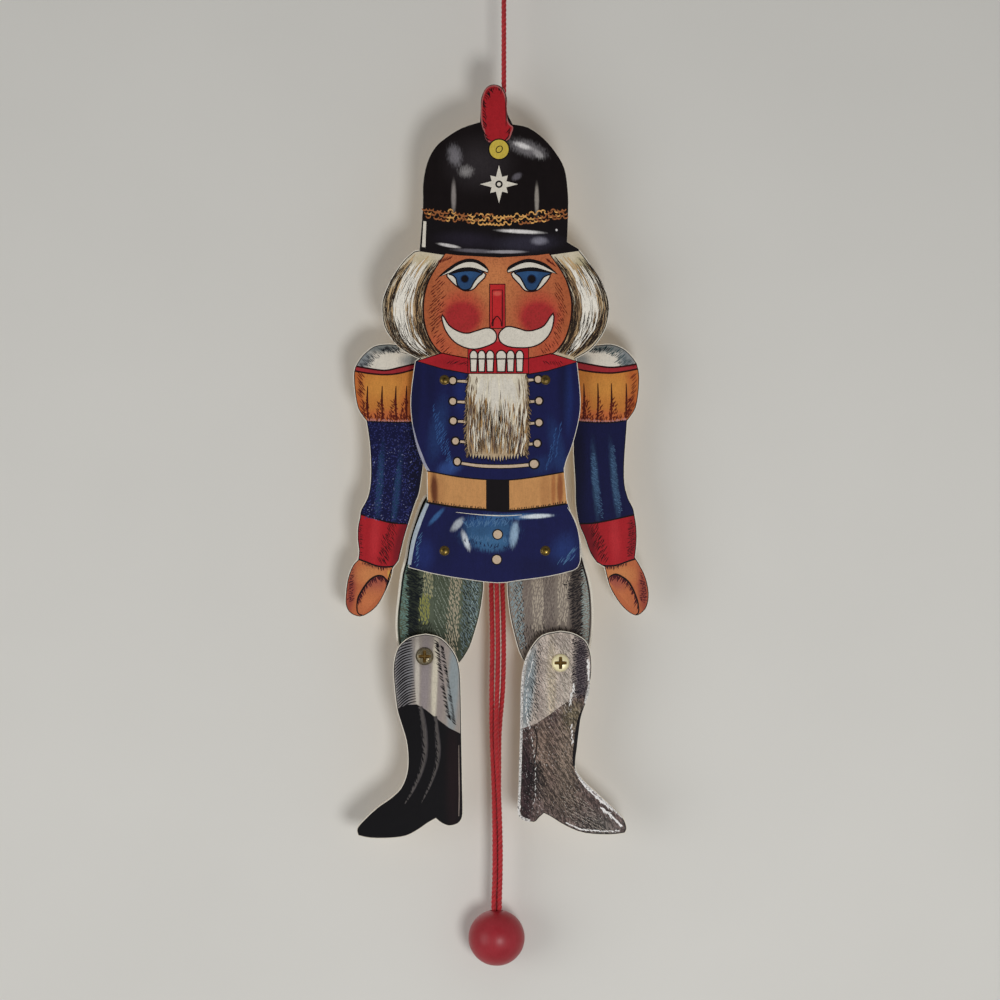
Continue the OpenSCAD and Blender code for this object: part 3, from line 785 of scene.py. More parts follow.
def make_camera():
    """Looks straight at the doll: its front plane fills the frame as the photograph's does."""
    data = bpy.data.cameras.new("camera")
    data.sensor_width, data.lens = SENSOR, LENS
    camera = new_object("camera", data)
    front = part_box("body_print")[0].y
    aim = Vector((CENTRE.x + VIEW_SHIFT[0], front, CENTRE.z + VIEW_SHIFT[1]))
    camera.location = aim - Vector((0, VIEW_HEIGHT * LENS / SENSOR, 0))
    camera.rotation_euler = (math.radians(90), 0, 0)
    bpy.context.scene.camera = camera
    return aim


def wall_material():
    """A pale wall that is seen from the front and in reflections, and lets light through."""
    material, t, shader, place = start_material("wall", 0.8)
    grain = t.noise(place, 0.012, 4.0)
    t.put(shader.inputs["Base Color"], t.mix(grain, 0xDAD8D2, 0xD4D2CC))
    ray = t.node("ShaderNodeLightPath").outputs
    seen = t.math("MAXIMUM", t.math("MAXIMUM", ray["Is Camera Ray"], ray["Is Glossy Ray"]),
                  ray["Is Transmission Ray"])
    front = t.math("SUBTRACT", 1.0, t.node("ShaderNodeNewGeometry").outputs["Backfacing"])
    blend = t.node("ShaderNodeMixShader")
    t.put(blend.inputs[0], t.math("MULTIPLY", seen, front))
    t.put(blend.inputs[1], t.node("ShaderNodeBsdfTransparent").outputs[0])
    t.put(blend.inputs[2], shader.outputs[0])
    t.put(material.node_tree.nodes["Material Output"].inputs["Surface"], blend.outputs[0])
    return material


def lamp(name, aim, direction, distance, size, power, tint=(1.0, 1.0, 1.0)):
    data = bpy.data.lights.new(name, "AREA")
    data.shape, data.size, data.energy, data.color = "DISK", size, power, tint
    made = new_object(name, data)
    toward = Vector(direction).normalized()
    made.location = aim + toward * distance
    made.rotation_mode = "QUATERNION"
    made.rotation_quaternion = toward.to_track_quat("Z", "Y")


class JACK_OT_stage(bpy.types.Operator):
    """Sets the camera, the wall and the soft lamps"""

    bl_idname = "jack.stage"
    bl_label = "Stage"

    def execute(self, context):
        aim = make_camera()
        bm = bmesh.new()
        bmesh.ops.create_grid(bm, x_segments=1, y_segments=1, size=2.0)
        bmesh.ops.rotate(bm, verts=bm.verts, cent=(0, 0, 0), matrix=Matrix.Rotation(math.radians(90), 3, "X"))
        bmesh.ops.translate(bm, verts=bm.verts, vec=(aim.x, CAD_BOX[1].y + WALL_GAP, aim.z))
        finish_mesh(bm, "wall", wall_material())
        lamp("low_key", aim, (0.22, -0.9, -0.36), 1.0, 0.3, 4.1)
        lamp("side_fill", aim, (-0.75, -0.66, -0.2), 1.2, 0.9, 3.4)
        lamp("rear", aim, (-0.25, 0.85, 0.45), 1.2, 0.8, 3.5)
        world = context.scene.world or bpy.data.worlds.new("world")
        context.scene.world = world
        world.use_nodes = True
        t = Tree(world.node_tree)
        split = t.node("ShaderNodeSeparateXYZ")
        t.put(split.inputs[0], t.node("ShaderNodeTexCoord").outputs["Generated"])
        sky = world.node_tree.nodes["Background"].inputs
        sky["Color"].default_value = (1.0, 1.0, 1.0, 1.0)
        # The room is dark straight behind the camera, so flat black paint stays black
        t.put(sky["Strength"], t.ramp(split.outputs[1], -0.97, -0.6, 0.02, 0.5))
        context.scene.view_settings.view_transform = "Standard"
        return {"FINISHED"}


# Cords

def middle(name):
    low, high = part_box(name)
    return (low + high) / 2


CORD_D = 2.4 * MM
STRING_D = 1.2 * MM
BALL_CENTRE = middle("pull_ball")
BALL_R = BALL_CENTRE.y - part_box("pull_ball")[0].y
PULL_Y = BALL_CENTRE.y
BALL_HOLE_DEEP = 14 * MM
# Routes in millimetres from the doll's centre: across, behind the cords' mean depth and up
PULL_ROUTES = {
    "left": [(-1.3, 0, -5), (-1.3, 0, -40), (-1.5, 1.3, -72), (-1.7, 1.3, -92), (-1.2, 0.5, -119),
             (-1.5, 0.3, -140), (-1.4, 0.8, -160), (-0.5, 0.2, -185), (-0.1, -0.5, -210), (-0.2, -0.8, -226)],
    "right": [(1.3, 0, -5), (1.3, 0, -40), (1.8, 1.3, -72), (3.3, 1.3, -92), (3.9, 0.5, -119),
              (3.5, 0.6, -140), (1.9, 1, -160), (1.7, 1.4, -185), (1.3, 1.8, -210), (1, 1.7, -226)],
    "middle": [(0.2, -1.7, -81), (0.7, -1.4, -92), (1.35, -0.2, -119), (1, -1, -140),
               (0.4, -1.6, -160), (1.6, -1.3, -185), (2.4, -0.8, -210), (2.3, -0.8, -226)],
}
BALL_ENTRIES = {"left": (-1.3, -0.75), "right": (0, 1.5), "middle": (1.3, -0.75)}
HANG_Y = middle("hanging_loop").y
STOPPER_Y = middle("hanging_cord").y
# How steeply the strings run down to their knot
STRING_SLOPE = math.radians(35)
STOPPER_KNOT, LOOP_KNOT = 5.2 * MM, 6.0 * MM
LOOP_KNOT_Z = -16 * MM
LOOP_INNER_R = 4.8
LOOP_SIDE = [(-1.3, -15), (-3.4, -12), (-5.2, -8.5)]


def cord_material():
    """Red fibres that follow the strand, with painted shade between them and a painted pink highlight on
    their tops.
    """
    colours = settings()[0]
    material, t, shader, _ = start_material("red_cord", 0.62)
    uv = t.node("ShaderNodeUVMap", uv_map="lay").outputs[0]
    fibres = t.grain(uv, (0.35, 14.0, 1.0), 4.0, 0.6)
    tone = t.grain(uv, (0.06, 1.0, 1.0), 2.0)
    red = colours.cord
    # Painted shade between the fibres, then a painted pink highlight on their tops
    tint = t.mix(t.ramp(fibres, 0.35, 0.7), t.mix(0.45, red, (0.02, 0.0, 0.0)), red)
    tint = t.mix(t.ramp(fibres, 0.66, 0.85, 0.0, 0.55), tint, 0xD8545A)
    tint = shade(t, tint, tone, 0.85, 1.12)
    t.put(shader.inputs["Base Color"], tint)
    shader.inputs["Sheen Weight"].default_value = 0.25
    shader.inputs["Sheen Roughness"].default_value = 0.4
    bump(t, shader, fibres, 0.00012)
    return material


def frames_along(route):
    """A tangent and two square directions at each point, turning as little as the route allows."""
    made = []
    side = None
    for i, here in enumerate(route):
        tangent = (route[min(i + 1, len(route) - 1)] - route[max(i - 1, 0)]).normalized()
        if side is None:
            side = tangent.cross(Vector((0.3, 1, 0.1))).normalized()
        side = (side - tangent * side.dot(tangent)).normalized()
        made.append((here, tangent, side, tangent.cross(side)))
    return made


def spaced(route, step):
    """The route again, with its points a step apart."""
    made, rest = [route[0]], step
    for a, b in zip(route, route[1:]):
        length = (b - a).length
        at = rest
        while at < length:
            made.append(a.lerp(b, at / length))
            at += step
        rest = at - length
    if (made[-1] - route[-1]).length > step * 0.3:
        made.append(route[-1])
    return made


def twisted(name, route, diameter, material, sides=8, lay=None, plies=None):
    """Strands wound round each other along a route, with the lay's length and girth in their map."""
    sizes = settings()[1]
    lay = (lay or sizes.lay) * diameter / CORD_D
    plies = plies or sizes.plies
    bm = bmesh.new()
    uv = bm.loops.layers.uv.new("lay")
    ply_r = diameter / 2 / (1 + 1 / math.sin(math.pi / plies)) * 1.16
    ring_r = diameter / 2 - ply_r
    steps = frames_along(spaced(route, diameter * 0.22))
    for ply in range(plies):
        rings, run = [], 0.0
        for i, (here, tangent, side, up) in enumerate(steps):
            run += (here - steps[i - 1][0]).length if i else 0.0
            turn = math.tau * (run / lay + ply / plies)
            out = side * math.cos(turn) + up * math.sin(turn)
            ahead = (tangent
                     + (up * math.cos(turn) - side * math.sin(turn)) * math.tau * ring_r / lay).normalized()
            across = ahead.cross(out)
            centre = here + out * ring_r
            ring = [bm.verts.new(centre + ply_r * (out * math.cos(a) + across * math.sin(a)))
                    for a in (math.tau * k / sides for k in range(sides))]
            rings.append((ring, run / MM))
        for (first, near), (second, far) in zip(rings, rings[1:]):
            for k in range(sides):
                n = (k + 1) % sides
                face = bm.faces.new((first[k], first[n], second[n], second[k]))
                for loop, place in zip(face.loops, ((near, k), (near, k + 1), (far, k + 1), (far, k))):
                    loop[uv].uv = (place[0] + 40 * ply, place[1] / sides + ply)
        bm.faces.new(rings[0][0][::-1])
        bm.faces.new(rings[-1][0])
    bmesh.ops.recalc_face_normals(bm, faces=bm.faces)
    return finish_mesh(bm, name, material, 60)


def tied_knot(name, centre, size, diameter, material, turn=0.0):
    """A tight overhand knot: one strand of the cord through its own loop."""
    scale = (size - diameter) / 2 / 3.0
    spin = Matrix.Rotation(turn, 3, "Z") @ Matrix.Rotation(math.radians(90), 3, "X")
    route = []
    for i in range(73):
        a = math.tau * i / 72
        wound = Vector((math.sin(a) + 2 * math.sin(2 * a), math.cos(a) - 2 * math.cos(2 * a),
                        -1.5 * math.sin(3 * a)))
        route.append(centre + spin @ wound * scale)
    return twisted(name, route, diameter, material)


def doll_point(x, y, z):
    return CENTRE + Vector((x * MM, 0, z * MM)) + Vector((0, y, 0))


class JACK_OT_cords(bpy.types.Operator):
    """Lays the hanging cord, its loop, the strings and the three pull cords"""

    bl_idname = "jack.cords"
    bl_label = "Cords"

    def execute(self, context):
        red = cord_material()
        self.hanging(red)
        self.strings(red)
        self.pulls(red)
        return {"FINISHED"}

    def hanging(self, red):
        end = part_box("hanging_cord")[0].z + STOPPER_KNOT / 2
        route = [Vector((0, HANG_Y, LOOP_KNOT_Z + (end - LOOP_KNOT_Z) * i / 12)) for i in range(13)]
        cord = twisted("hanging_cord_strands", route, CORD_D, red)
        stopper = tied_knot("hanging_stopper_knot", Vector((0, STOPPER_Y, end)), STOPPER_KNOT, 1.9 * MM,
                            red, 0.4)
        place_piece(cord, "doll", "red_cord", "hanging_cord")
        place_piece(stopper, "doll", "red_cord")
        arc = LOOP_INNER_R + CORD_D / MM / 2
        flat = list(LOOP_SIDE)
        flat += [(arc * math.cos(math.radians(a)), -LOOP_INNER_R + arc * math.sin(math.radians(a)))
                 for a in range(200, -21, -11)]
        flat += [(-x, z) for x, z in LOOP_SIDE[::-1]]
        ring = [Vector((x * MM, HANG_Y, z * MM)) for x, z in smooth(flat, 3)]
        loop = twisted("hanging_loop_strands", ring, CORD_D, red)
        knot = tied_knot("hanging_loop_knot", Vector((0, HANG_Y, LOOP_KNOT_Z)), LOOP_KNOT, 2.1 * MM, red, 1.2)
        place_piece(loop, "doll", "red_cord", "hanging_loop")
        place_piece(knot, "doll", "red_cord")

    def strings(self, red):
        """Each limb's string: a loop round the rim of its hole, tied off, then a run to the knot."""
        travel = JOINTS["pull_slide"]["range_m"][1]
        loop_reach = 6.0 * MM
        for limb, pivots in (("arm", SHOULDER), ("leg", HIP)):
            joint = "shoulder" if limb == "arm" else "hip"
            swing = math.radians(JOINTS["left_" + joint]["range_deg"][1])
            reach = travel / 2 / math.sin(swing / 2)
            for side, sign in SIDES.items():
                node = f"{side}_{limb}_string"
                front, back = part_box(node)[0].y + STRING_D / 2, PULL_Y - (CORD_D - STRING_D) / 2
                start = pivots[side] + Vector((-sign * reach * (1 + math.cos(swing / 2)) / 2, 0,
                                               reach * math.sin(swing / 2)))
                inward = Vector((-sign * math.cos(STRING_SLOPE), 0, -math.sin(STRING_SLOPE)))
                length = abs(start.x - CENTRE.x) / math.cos(STRING_SLOPE)
                corner = 0.9 * MM
                ring = [(corner, front), (loop_reach - corner, front), (loop_reach, front + corner),
                        (loop_reach, back - corner), (loop_reach - corner, back), (corner, back),
                        (0, back - corner), (0, front + corner)]
                closed = blob([(a / MM, b / MM) for a, b in ring], 4)
                closed.append(closed[0])
                loop = [start + inward * a * MM + Vector((0, b * MM, 0)) for a, b in closed]
                run = [start + inward * (loop_reach + (length - loop_reach) * i / 8) + Vector((0, back, 0))
                       for i in range(9)]
                piece = twisted(f"{side}_{limb}_string_loop", loop, STRING_D, red, 6)
                place_piece(piece, "pull", "red_cord", node)
                place_piece(twisted(f"{side}_{limb}_string_run", run, STRING_D, red, 6), "pull", "red_cord")
                place_piece(tied_knot(f"{side}_{limb}_string_tie", run[0], 2.8 * MM, 0.95 * MM, red,
                                      0.7 * sign), "pull", "red_cord")
        for limb in ("arm", "leg"):
            low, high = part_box(limb + "_knot")
            place_piece(tied_knot(limb + "_cord_knot", (low + high) / 2, high.z - low.z, 2.1 * MM, red,
                                  0.3), "pull", "red_cord", limb + "_knot")

    def pulls(self, red):
        deep_end = BALL_HOLE_DEEP / MM - 1
        for side, points in PULL_ROUTES.items():
            entry = BALL_ENTRIES[side]
            drawn = smooth(points, 3)
            top = (BALL_CENTRE.z + BALL_R - CENTRE.z) / MM
            across = (BALL_CENTRE.x - CENTRE.x) / MM
            drawn += [(across + entry[0], entry[1], top - deep) for deep in (-4, 3, deep_end)]
            route = [doll_point(x, PULL_Y + y * MM, z) for x, y, z in drawn]
            cord = twisted(f"pull_cord_{side}_strands", route, CORD_D, red)
            place_piece(cord, "pull", "red_cord", "pull_cord_" + side)


# Wood

class JACK_OT_boards(bpy.types.Operator):
    """Gives the sawn boards their birch plywood and the spacers turned wood"""

    bl_idname = "jack.boards"
    bl_label = "Boards"

    def execute(self, context):
        materials = {}
        for name in NODES:
            if not name.endswith("_board"):
                continue
            depth = round(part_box(name)[0].y / MM, 2)
            if depth not in materials:
                materials[depth] = plywood_material(f"plywood_{len(materials)}", depth)
            dress(name, materials[depth])
        beech = turned_wood_material()
        for name in NODES:
            if name.endswith("_spacer"):
                dress(name, beech)
        return {"FINISHED"}


def dress(name, material):
    """A CAD node keeps its mesh and gets another material."""
    piece = NODES[name]
    piece.data.materials.clear()
    piece.data.materials.append(material)


def wood_grain_group(name="Wood Grain"):
    """Long fibres and growth bands of sliced birch, along z: a tone from 0 to 1 and a height."""
    t, given, out = new_group(name, [("Position", (0.0, 0.0, 0.0))], ["Tone", "Height"])
    warp = t.grain(given["Position"], (0.05, 0.05, 0.012), 3.0)
    bands = t.node("ShaderNodeTexWave", wave_type="BANDS", bands_direction="X")
    spread = t.node("ShaderNodeCombineXYZ")
    t.put(spread.inputs[0], t.math("MULTIPLY", warp, 14.0))
    shift = t.vector("ADD", t.vector("MULTIPLY", given["Position"], (0.16, 0.0, 0.006)), spread.outputs[0])
    t.put(bands.inputs["Vector"], shift)
    t.put(bands.inputs["Scale"], 0.5)
    t.put(bands.inputs["Distortion"], 1.6)
    fibres = t.grain(given["Position"], (3.2, 3.2, 0.13), 4.0, 0.6)
    t.put(out["Tone"], t.math("MULTIPLY_ADD", fibres, 0.55, t.math("MULTIPLY", bands.outputs["Fac"], 0.45)))
    t.put(out["Height"], fibres)
    return t.tree


# One of the three plies, in millimetres
PLY = 4.0 / 3


def plywood_material(name, front):
    """Birch ply: grain on its back, and three crossed layers with dark glue lines along its sawn edges."""
    colours = settings()[0]
    material, t, shader, place = start_material(name, 0.62)
    wood = colours.wood
    grain = t.use(group_once("Wood Grain", wood_grain_group), position=place)
    tint = t.mix(t.ramp(grain["Tone"], 0.3, 0.75), t.mix(0.5, wood, 0x9B7443), wood)
    axes = t.node("ShaderNodeSeparateXYZ")
    t.put(axes.inputs[0], place)
    depth = t.math("SUBTRACT", axes.outputs["Y"], front)
    ply = t.math("DIVIDE", depth, PLY)
    middle = t.math("COMPARE", ply, 1.5, 0.5)
    end_grain = t.grain(place, (2.2, 0.4, 2.2), 4.0, 0.7)
    core = t.mix(t.ramp(end_grain, 0.3, 0.7), t.mix(0.55, wood, 0x7A5227), t.mix(0.2, wood, 0x9B7443))
    tint = t.mix(middle, tint, core)
    from_line = t.math("ABSOLUTE", t.math("SUBTRACT", t.math("FRACT", t.math("ADD", ply, 0.5)), 0.5))
    glue = t.math("MULTIPLY", t.math("LESS_THAN", from_line, 0.06), t.math("COMPARE", ply, 1.5, 0.75))
    tint = t.mix(t.math("MULTIPLY", glue, 0.75), tint, 0x5B3A1D)
    char = t.noise(place, 0.11, 3.0)
    tint = shade(t, tint, char, 0.86, 1.06)
    t.put(shader.inputs["Base Color"], tint)
    t.put(shader.inputs["Roughness"], t.ramp(grain["Tone"], 0.2, 0.8, 0.7, 0.52))
    bump(t, shader, grain["Height"], 0.00012, 0.8)
    return material


def turned_wood_material():
    colours = settings()[0]
    material, t, shader, place = start_material("turned_wood", 0.6)
    grain = t.use(group_once("Wood Grain", wood_grain_group), position=place)
    wood = colours.wood
    t.put(
        shader.inputs["Base Color"], t.mix(t.ramp(grain["Tone"], 0.3, 0.75), t.mix(0.6, wood, 0x8A6336),
                                           wood))
    bump(t, shader, grain["Height"], 0.0001)
    return material


# Metal and ball

def metal_material(name, colour, roughness, grime, dark, metallic=1.0):
    """Turned metal: fine scratches, and grime or tarnish of a given amount."""
    material, t, shader, place = start_material(name, roughness)
    cloud = t.noise(place, 1.3, 4.0, 0.6)
    scratches = t.grain(place, (9.0, 9.0, 1.2), 3.0)
    dirt = t.math("MULTIPLY", t.ramp(cloud, 0.35, 0.7), grime)
    tint = t.mix(dirt, colour, dark)
    t.put(shader.inputs["Base Color"], shade(t, tint, scratches, 0.88, 1.08))
    t.put(shader.inputs["Roughness"],
          t.math("MULTIPLY_ADD", dirt, 0.3, t.ramp(scratches, 0.3, 0.7, roughness - 0.05, roughness + 0.1)))
    t.put(shader.inputs["Metallic"], t.math("SUBTRACT", metallic, t.math("MULTIPLY", dirt, 0.5 * metallic)))
    bump(t, shader, scratches, 0.00002)
    return material


def turned(profile, at, axis=(0, 1, 0), steps=48):
    """A solid spun round an axis through a point: profile is (radius, way along the axis) in metres."""
    bm = bmesh.new()
    verts = [bm.verts.new((at.x + r, at.y + axis[1] * along, at.z + axis[2] * along)) for r, along in profile]
    for a, b in zip(verts, verts[1:]):
        bm.edges.new((a, b))
    bmesh.ops.spin(bm, geom=bm.verts[:] + bm.edges[:], cent=at, axis=axis, angle=math.tau, steps=steps,
                   use_merge=True)
    bmesh.ops.remove_doubles(bm, verts=bm.verts, dist=WELD)
    bmesh.ops.recalc_face_normals(bm, faces=bm.faces)
    return bm


def on_axis(at):
    """The foot of the axis of a rivet or a screw, from which its profile's depths count."""
    return Vector((at.x, 0, at.z))


def dome(radius, base, top, count=7):
    """Profile of a round cap from its rim at base to the axis at top."""
    return [(radius * math.cos(a), base + (top - base) * math.sin(a))
            for a in (math.pi / 2 * i / (count - 1) for i in range(count))]


class JACK_OT_rivets(bpy.types.Operator):
    """Sets the four brass rivets with their washers"""

    bl_idname = "jack.rivets"
    bl_label = "Rivets"

    def execute(self, context):
        colours = settings()[0]
        # The rivets' brass is darkened to a third of its colour as a painted dark reflection, and blotched
        # with tarnish over that
        olive = metal_material("dark_reflection_and_tarnish_brass", tuple(c * 0.34 for c in colours.brass), 0.2, 0.8, 0x1C1A12)
        zinc = metal_material("zinc", 0xA9A9A6, 0.34, 0.35, 0x5E5A52)
        for kind, places in (("shoulder", SHOULDER), ("hip", HIP)):
            for side, at in places.items():
                node = f"{side}_{kind}_rivet"
                low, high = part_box(node)
                shank, tail_r = 1.5 * MM, (high.x - low.x) / 2
                head_r, rim = 2.2 * MM, 0.18 * MM
                head_y, tail_y = low.y + 1 * MM, high.y - 1 * MM
                profile = [(0, low.y)] + dome(head_r - rim, head_y - rim, low.y)[::-1][1:]
                profile += [(head_r, head_y - 0.6 * rim), (head_r, head_y + 0.05 * MM),
                            (shank, head_y + 0.05 * MM), (shank, tail_y), (tail_r - rim, tail_y),
                            (tail_r, tail_y + rim)]
                profile += dome(tail_r - rim, tail_y + rim, high.y - 0.15 * MM)[1:5]
                profile += [(tail_r * 0.3, high.y - 0.1 * MM), (tail_r * 0.2, high.y - 0.4 * MM),
                            (0, high.y - 0.45 * MM)]
                piece = finish_mesh(turned(profile, on_axis(at)), node + "_turned", olive, 40)
                place_piece(piece, "doll", "brass", node)
                dress(f"{side}_{kind}_washer", zinc)
        for side in SIDES:
            dress(side + "_knee_washer", zinc)
            dress(side + "_knee_nut", zinc)
        dress("hanger_staple", zinc)
        return {"FINISHED"}


# Knee screws, M4: depth of the head, its round edge, the shank without thread, the thread's pitch and depth
HEAD_DEEP, EDGE_DEEP, PLAIN_SHANK, PITCH, THREAD = (n * MM for n in (2.4, 0.9, 6.5, 0.7, 0.3))


class JACK_OT_knee_screws(bpy.types.Operator):
    """Cuts the two knee screws with their cross recess"""

    bl_idname = "jack.knee_screws"
    bl_label = "Knee Screws"

    def execute(self, context):
        # The right screw is pale cream and only half metal: its highlight is painted into its colour
        finishes = {"left": metal_material("dull_brass", 0x8D8269, 0.3, 0.9, 0x3A3428),
                    "right": metal_material("highlit_pale_brass", 0xF6EBBE, 0.42, 0.1, 0x8F7A40, 0.45)}
        # Darker brass for the cross recess: painted shade in the recess
        shadow = metal_material("recess_shade_brass", 0x7A5C22, 0.6, 0.6, 0x33240C, 0.5)
        for side, at in KNEE.items():
            node = side + "_knee_screw"
            low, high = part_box(node)
            head_r, shank = 4 * MM, 2 * MM
            under = low.y + HEAD_DEEP
            edge = under - EDGE_DEEP
            profile = [(0, low.y)] + dome(head_r - 0.2 * MM, edge, low.y, 9)[::-1][1:]
            profile += [(head_r, edge + 0.25 * MM), (head_r, under - 0.05 * MM), (head_r - 0.1 * MM, under),
                        (shank, under)]
            y = under + PLAIN_SHANK
            while y + PITCH < high.y - 0.3 * MM:
                profile += [(shank, y), (shank - THREAD, y + PITCH / 2)]
                y += PITCH
            profile += [(shank, y), (shank - 0.35 * MM, high.y), (0, high.y)]
            piece = finish_mesh(turned(profile, on_axis(at)), node + "_turned", finishes[side], 35)
            cutter = self.recess(at, low.y, shadow)
            difference = piece.modifiers.new("recess", "BOOLEAN")
            difference.operation, difference.object, difference.solver = "DIFFERENCE", cutter, "EXACT"
            difference.use_self = True
            difference.material_mode = "TRANSFER"
            applied(piece)
            bpy.data.objects.remove(cutter)
            place_piece(piece, side + "_thigh", "brass", node)
        return {"FINISHED"}

    def recess(self, at, front, material):
        """The cross that the driver fits: two bars that taper towards their bottom."""
        bm = bmesh.new()
        long, wide, deep = 6.2 * MM, 1.4 * MM, 1.3 * MM
        for turn in (0, 90):
            made = bmesh.ops.create_cube(bm, size=2.0)["verts"]
            for v in made:
                taper = 1.0 if v.co.y < 0 else 0.2
                v.co = Vector((v.co.x * long * taper, v.co.y * deep, v.co.z * wide * taper))
            bmesh.ops.rotate(bm, verts=made, cent=(0, 0, 0),
                             matrix=Matrix.Rotation(math.radians(turn), 3, "Y"))
        bmesh.ops.translate(bm, verts=bm.verts, vec=(at.x, front, at.z))
        return finish_mesh(bm, "recess_cutter", material)


class JACK_OT_ball(bpy.types.Operator):
    """Turns and lacquers the pull ball"""

    bl_idname = "jack.ball"
    bl_label = "Pull Ball"

    def execute(self, context):
        material, t, shader, place = start_material("ball_lacquer", 0.4, coat=0.15, coat_roughness=0.28)
        red = tuple(settings()[0].ball)
        cloud = t.noise(place, 0.09, 4.0, 0.6)
        grain = t.grain(place, (1.4, 1.4, 0.12), 3.0)
        tint = t.mix(t.ramp(cloud, 0.35, 0.7), red, t.mix(0.35, red, 0xA8303A))
        t.put(shader.inputs["Base Color"], shade(t, tint, grain, 0.93, 1.05))
        shader.inputs["Specular IOR Level"].default_value = 0.3
        t.put(shader.inputs["Roughness"], t.ramp(cloud, 0.3, 0.7, 0.36, 0.46))
        bump(t, shader, grain, 0.00004)
        hole_r, lip = 2.9 * MM, 0.5 * MM
        mouth = math.asin((hole_r + lip) / BALL_R)
        profile = [(BALL_R * math.sin(a), BALL_R * math.cos(a))
                   for a in (math.pi - (math.pi - mouth) * i / 40 for i in range(41))]
        top = BALL_R * math.cos(mouth)
        profile += [(hole_r + 0.15 * MM, top - 0.1 * MM), (hole_r, top - 0.45 * MM),
                    (hole_r, BALL_R - BALL_HOLE_DEEP), (0, BALL_R - BALL_HOLE_DEEP)]
        profile[0] = (0, -BALL_R)
        bm = turned(profile, BALL_CENTRE, (0, 0, 1), 64)
        place_piece(finish_mesh(bm, "pull_ball_turned", material, 50), "pull", "red_ball", "pull_ball")
        return {"FINISHED"}


# Pictures

TO_THE_EDGE = -0.62
BRIM = [(-34.4, 58.4), (-17, 56.0), (2.1, 55.0), (19, 56.0), (37, 58.4)]
BRAID_TOP = [(-32.9, 77.7), (-16, 75.4), (1.8, 74.1), (17, 75.2), (32.7, 77.1)]
BRAID_LOW = [(-32.9, 73.0), (-16.4, 70.3), (1.8, 69.2), (16.2, 70.3), (32.7, 72.4)]
COLLAR_LOW = [(-34.8, 8.4), (-23.4, 5.1), (-11.7, 2.9), (0.9, 2.5), (14.9, 2.7), (23.9, 4.3), (36.8, 8.1)]
BELT_TOP = [(-30.7, -41.0), (-17, -43.6), (-4.3, -44.9), (6.5, -45.1), (19, -43.6), (31, -41.5)]
BELT_LOW = [(-30.7, -55.2), (-17, -57.4), (-4.3, -58.5), (6.5, -59.0), (19, -57.8), (32.1, -55.8)]
LEFT_HAIR = [[(-35.4, 58.7), (-45, 49.1), (-49.9, 38.7), (-50.9, 31.9), (-49.5, 24.3), (-45.7, 16.7),
              (-40.2, 12.6), (-34, 9.5)],
             [(-23, 55.3), (-26.5, 50.4), (-30.2, 43.6), (-32.3, 35.3), (-32, 27), (-30.6, 20.8),
              (-27.8, 15.3), (-24.7, 11.9)]]
RIGHT_HAIR = [[(37.6, 58), (44.5, 50.4), (49.3, 42.2), (51.4, 34.6), (50.7, 27), (47.9, 20.2), (42.4, 14.7),
               (36.2, 10.2)],
              [(24.2, 56), (29.3, 49.8), (32.4, 44.3), (34.5, 36.7), (34.4, 28.4), (33.1, 22.2), (30.4, 16),
               (28, 12.2)]]
# Locks of hair: their paint, number, range between the two guide lines, range of starts, length and width
HAIR_LOCKS = [
    ("tan", 60, (0.08, 0.95), (0.02, 0.85), 0.26, 1.0),
    ("brown", 70, (0.6, 0.97), (0.1, 0.85), 0.2, 0.45),
    ("brown", 90, (0.03, 0.9), (0.4, 0.88), 0.18, 0.4),
    ("pale", 60, (0.25, 0.72), (0.05, 0.7), 0.32, 0.8),
    ("dark", 110, (0.02, 0.26), (0.05, 0.88), 0.16, 0.24),
    ("dark", 110, (0.78, 1.0), (0.02, 0.9), 0.16, 0.26),
    ("dark", 120, (0.12, 0.9), (0.5, 0.93), 0.13, 0.24),
    ("dark", 30, (0.3, 0.75), (0.05, 0.6), 0.14, 0.18),
]
HAIR_PAINTS = {"tan": (0xC4A67C, 0.2), "brown": (0x8A6E50, 0.25), "pale": (0xEFE9DC, 0.08),
               "dark": (0x2C211A, 0.2)}
LEFT_CHEEK_LINE = [(-22.3, 57), (-26.6, 50.5), (-29.9, 44.4), (-31.9, 37.4), (-32.3, 31.2), (-31.8, 25.7),
                   (-30.2, 20.1), (-27.3, 15), (-23.9, 11.7)]
RIGHT_CHEEK_LINE = [(24.2, 57), (28.9, 50.5), (32.2, 44.4), (34.3, 36.8), (34.6, 30.5), (33.6, 24.3),
                    (31.4, 18.1), (28, 13.4), (25.2, 11.4)]
MOUSTACHE = [[(-23.6, 28.6), (-20.9, 24.3), (-16.8, 21.6), (-12.7, 20.6), (-8.6, 21.6), (-4.4, 22.9),
              (-1.7, 22.7), (0.1, 21.0), (0.4, 18.8), (-0.9, 16.7), (-5.9, 14.7), (-9.9, 14.1), (-14, 15),
              (-18.2, 17.4), (-21.6, 21.6), (-23.1, 25.3)],
             [(26, 29.3), (22.5, 24.3), (18.3, 22.2), (14.2, 21.7), (10.1, 22.9), (5.9, 23.7), (3.2, 22.2),
              (1.9, 19.8), (2.8, 17.1), (5.9, 15.3), (10.8, 14.7), (16.2, 15), (20.4, 16.7), (23.9, 20.1),
              (25.7, 24.3)]]
BROWS = [
    ([(-25.2, 46.4), (-20.9, 50.0), (-16.8, 52.7), (-12.7, 54.1), (-8.6, 53.8), (-5.1, 51.9), (-3.2, 49.5)],
     [(-3.3, 48.3), (-9.9, 50.4), (-15.4, 50.2), (-20.3, 48.2)]),
    ([(27.6, 47.8), (23.1, 51.7), (19, 53.4), (14.9, 54.1), (10.8, 53.1), (6.6, 50.9), (5.6, 49.2)],
     [(5.9, 48.3), (12.2, 50.1), (17.6, 50.5), (22.5, 49.3)])]
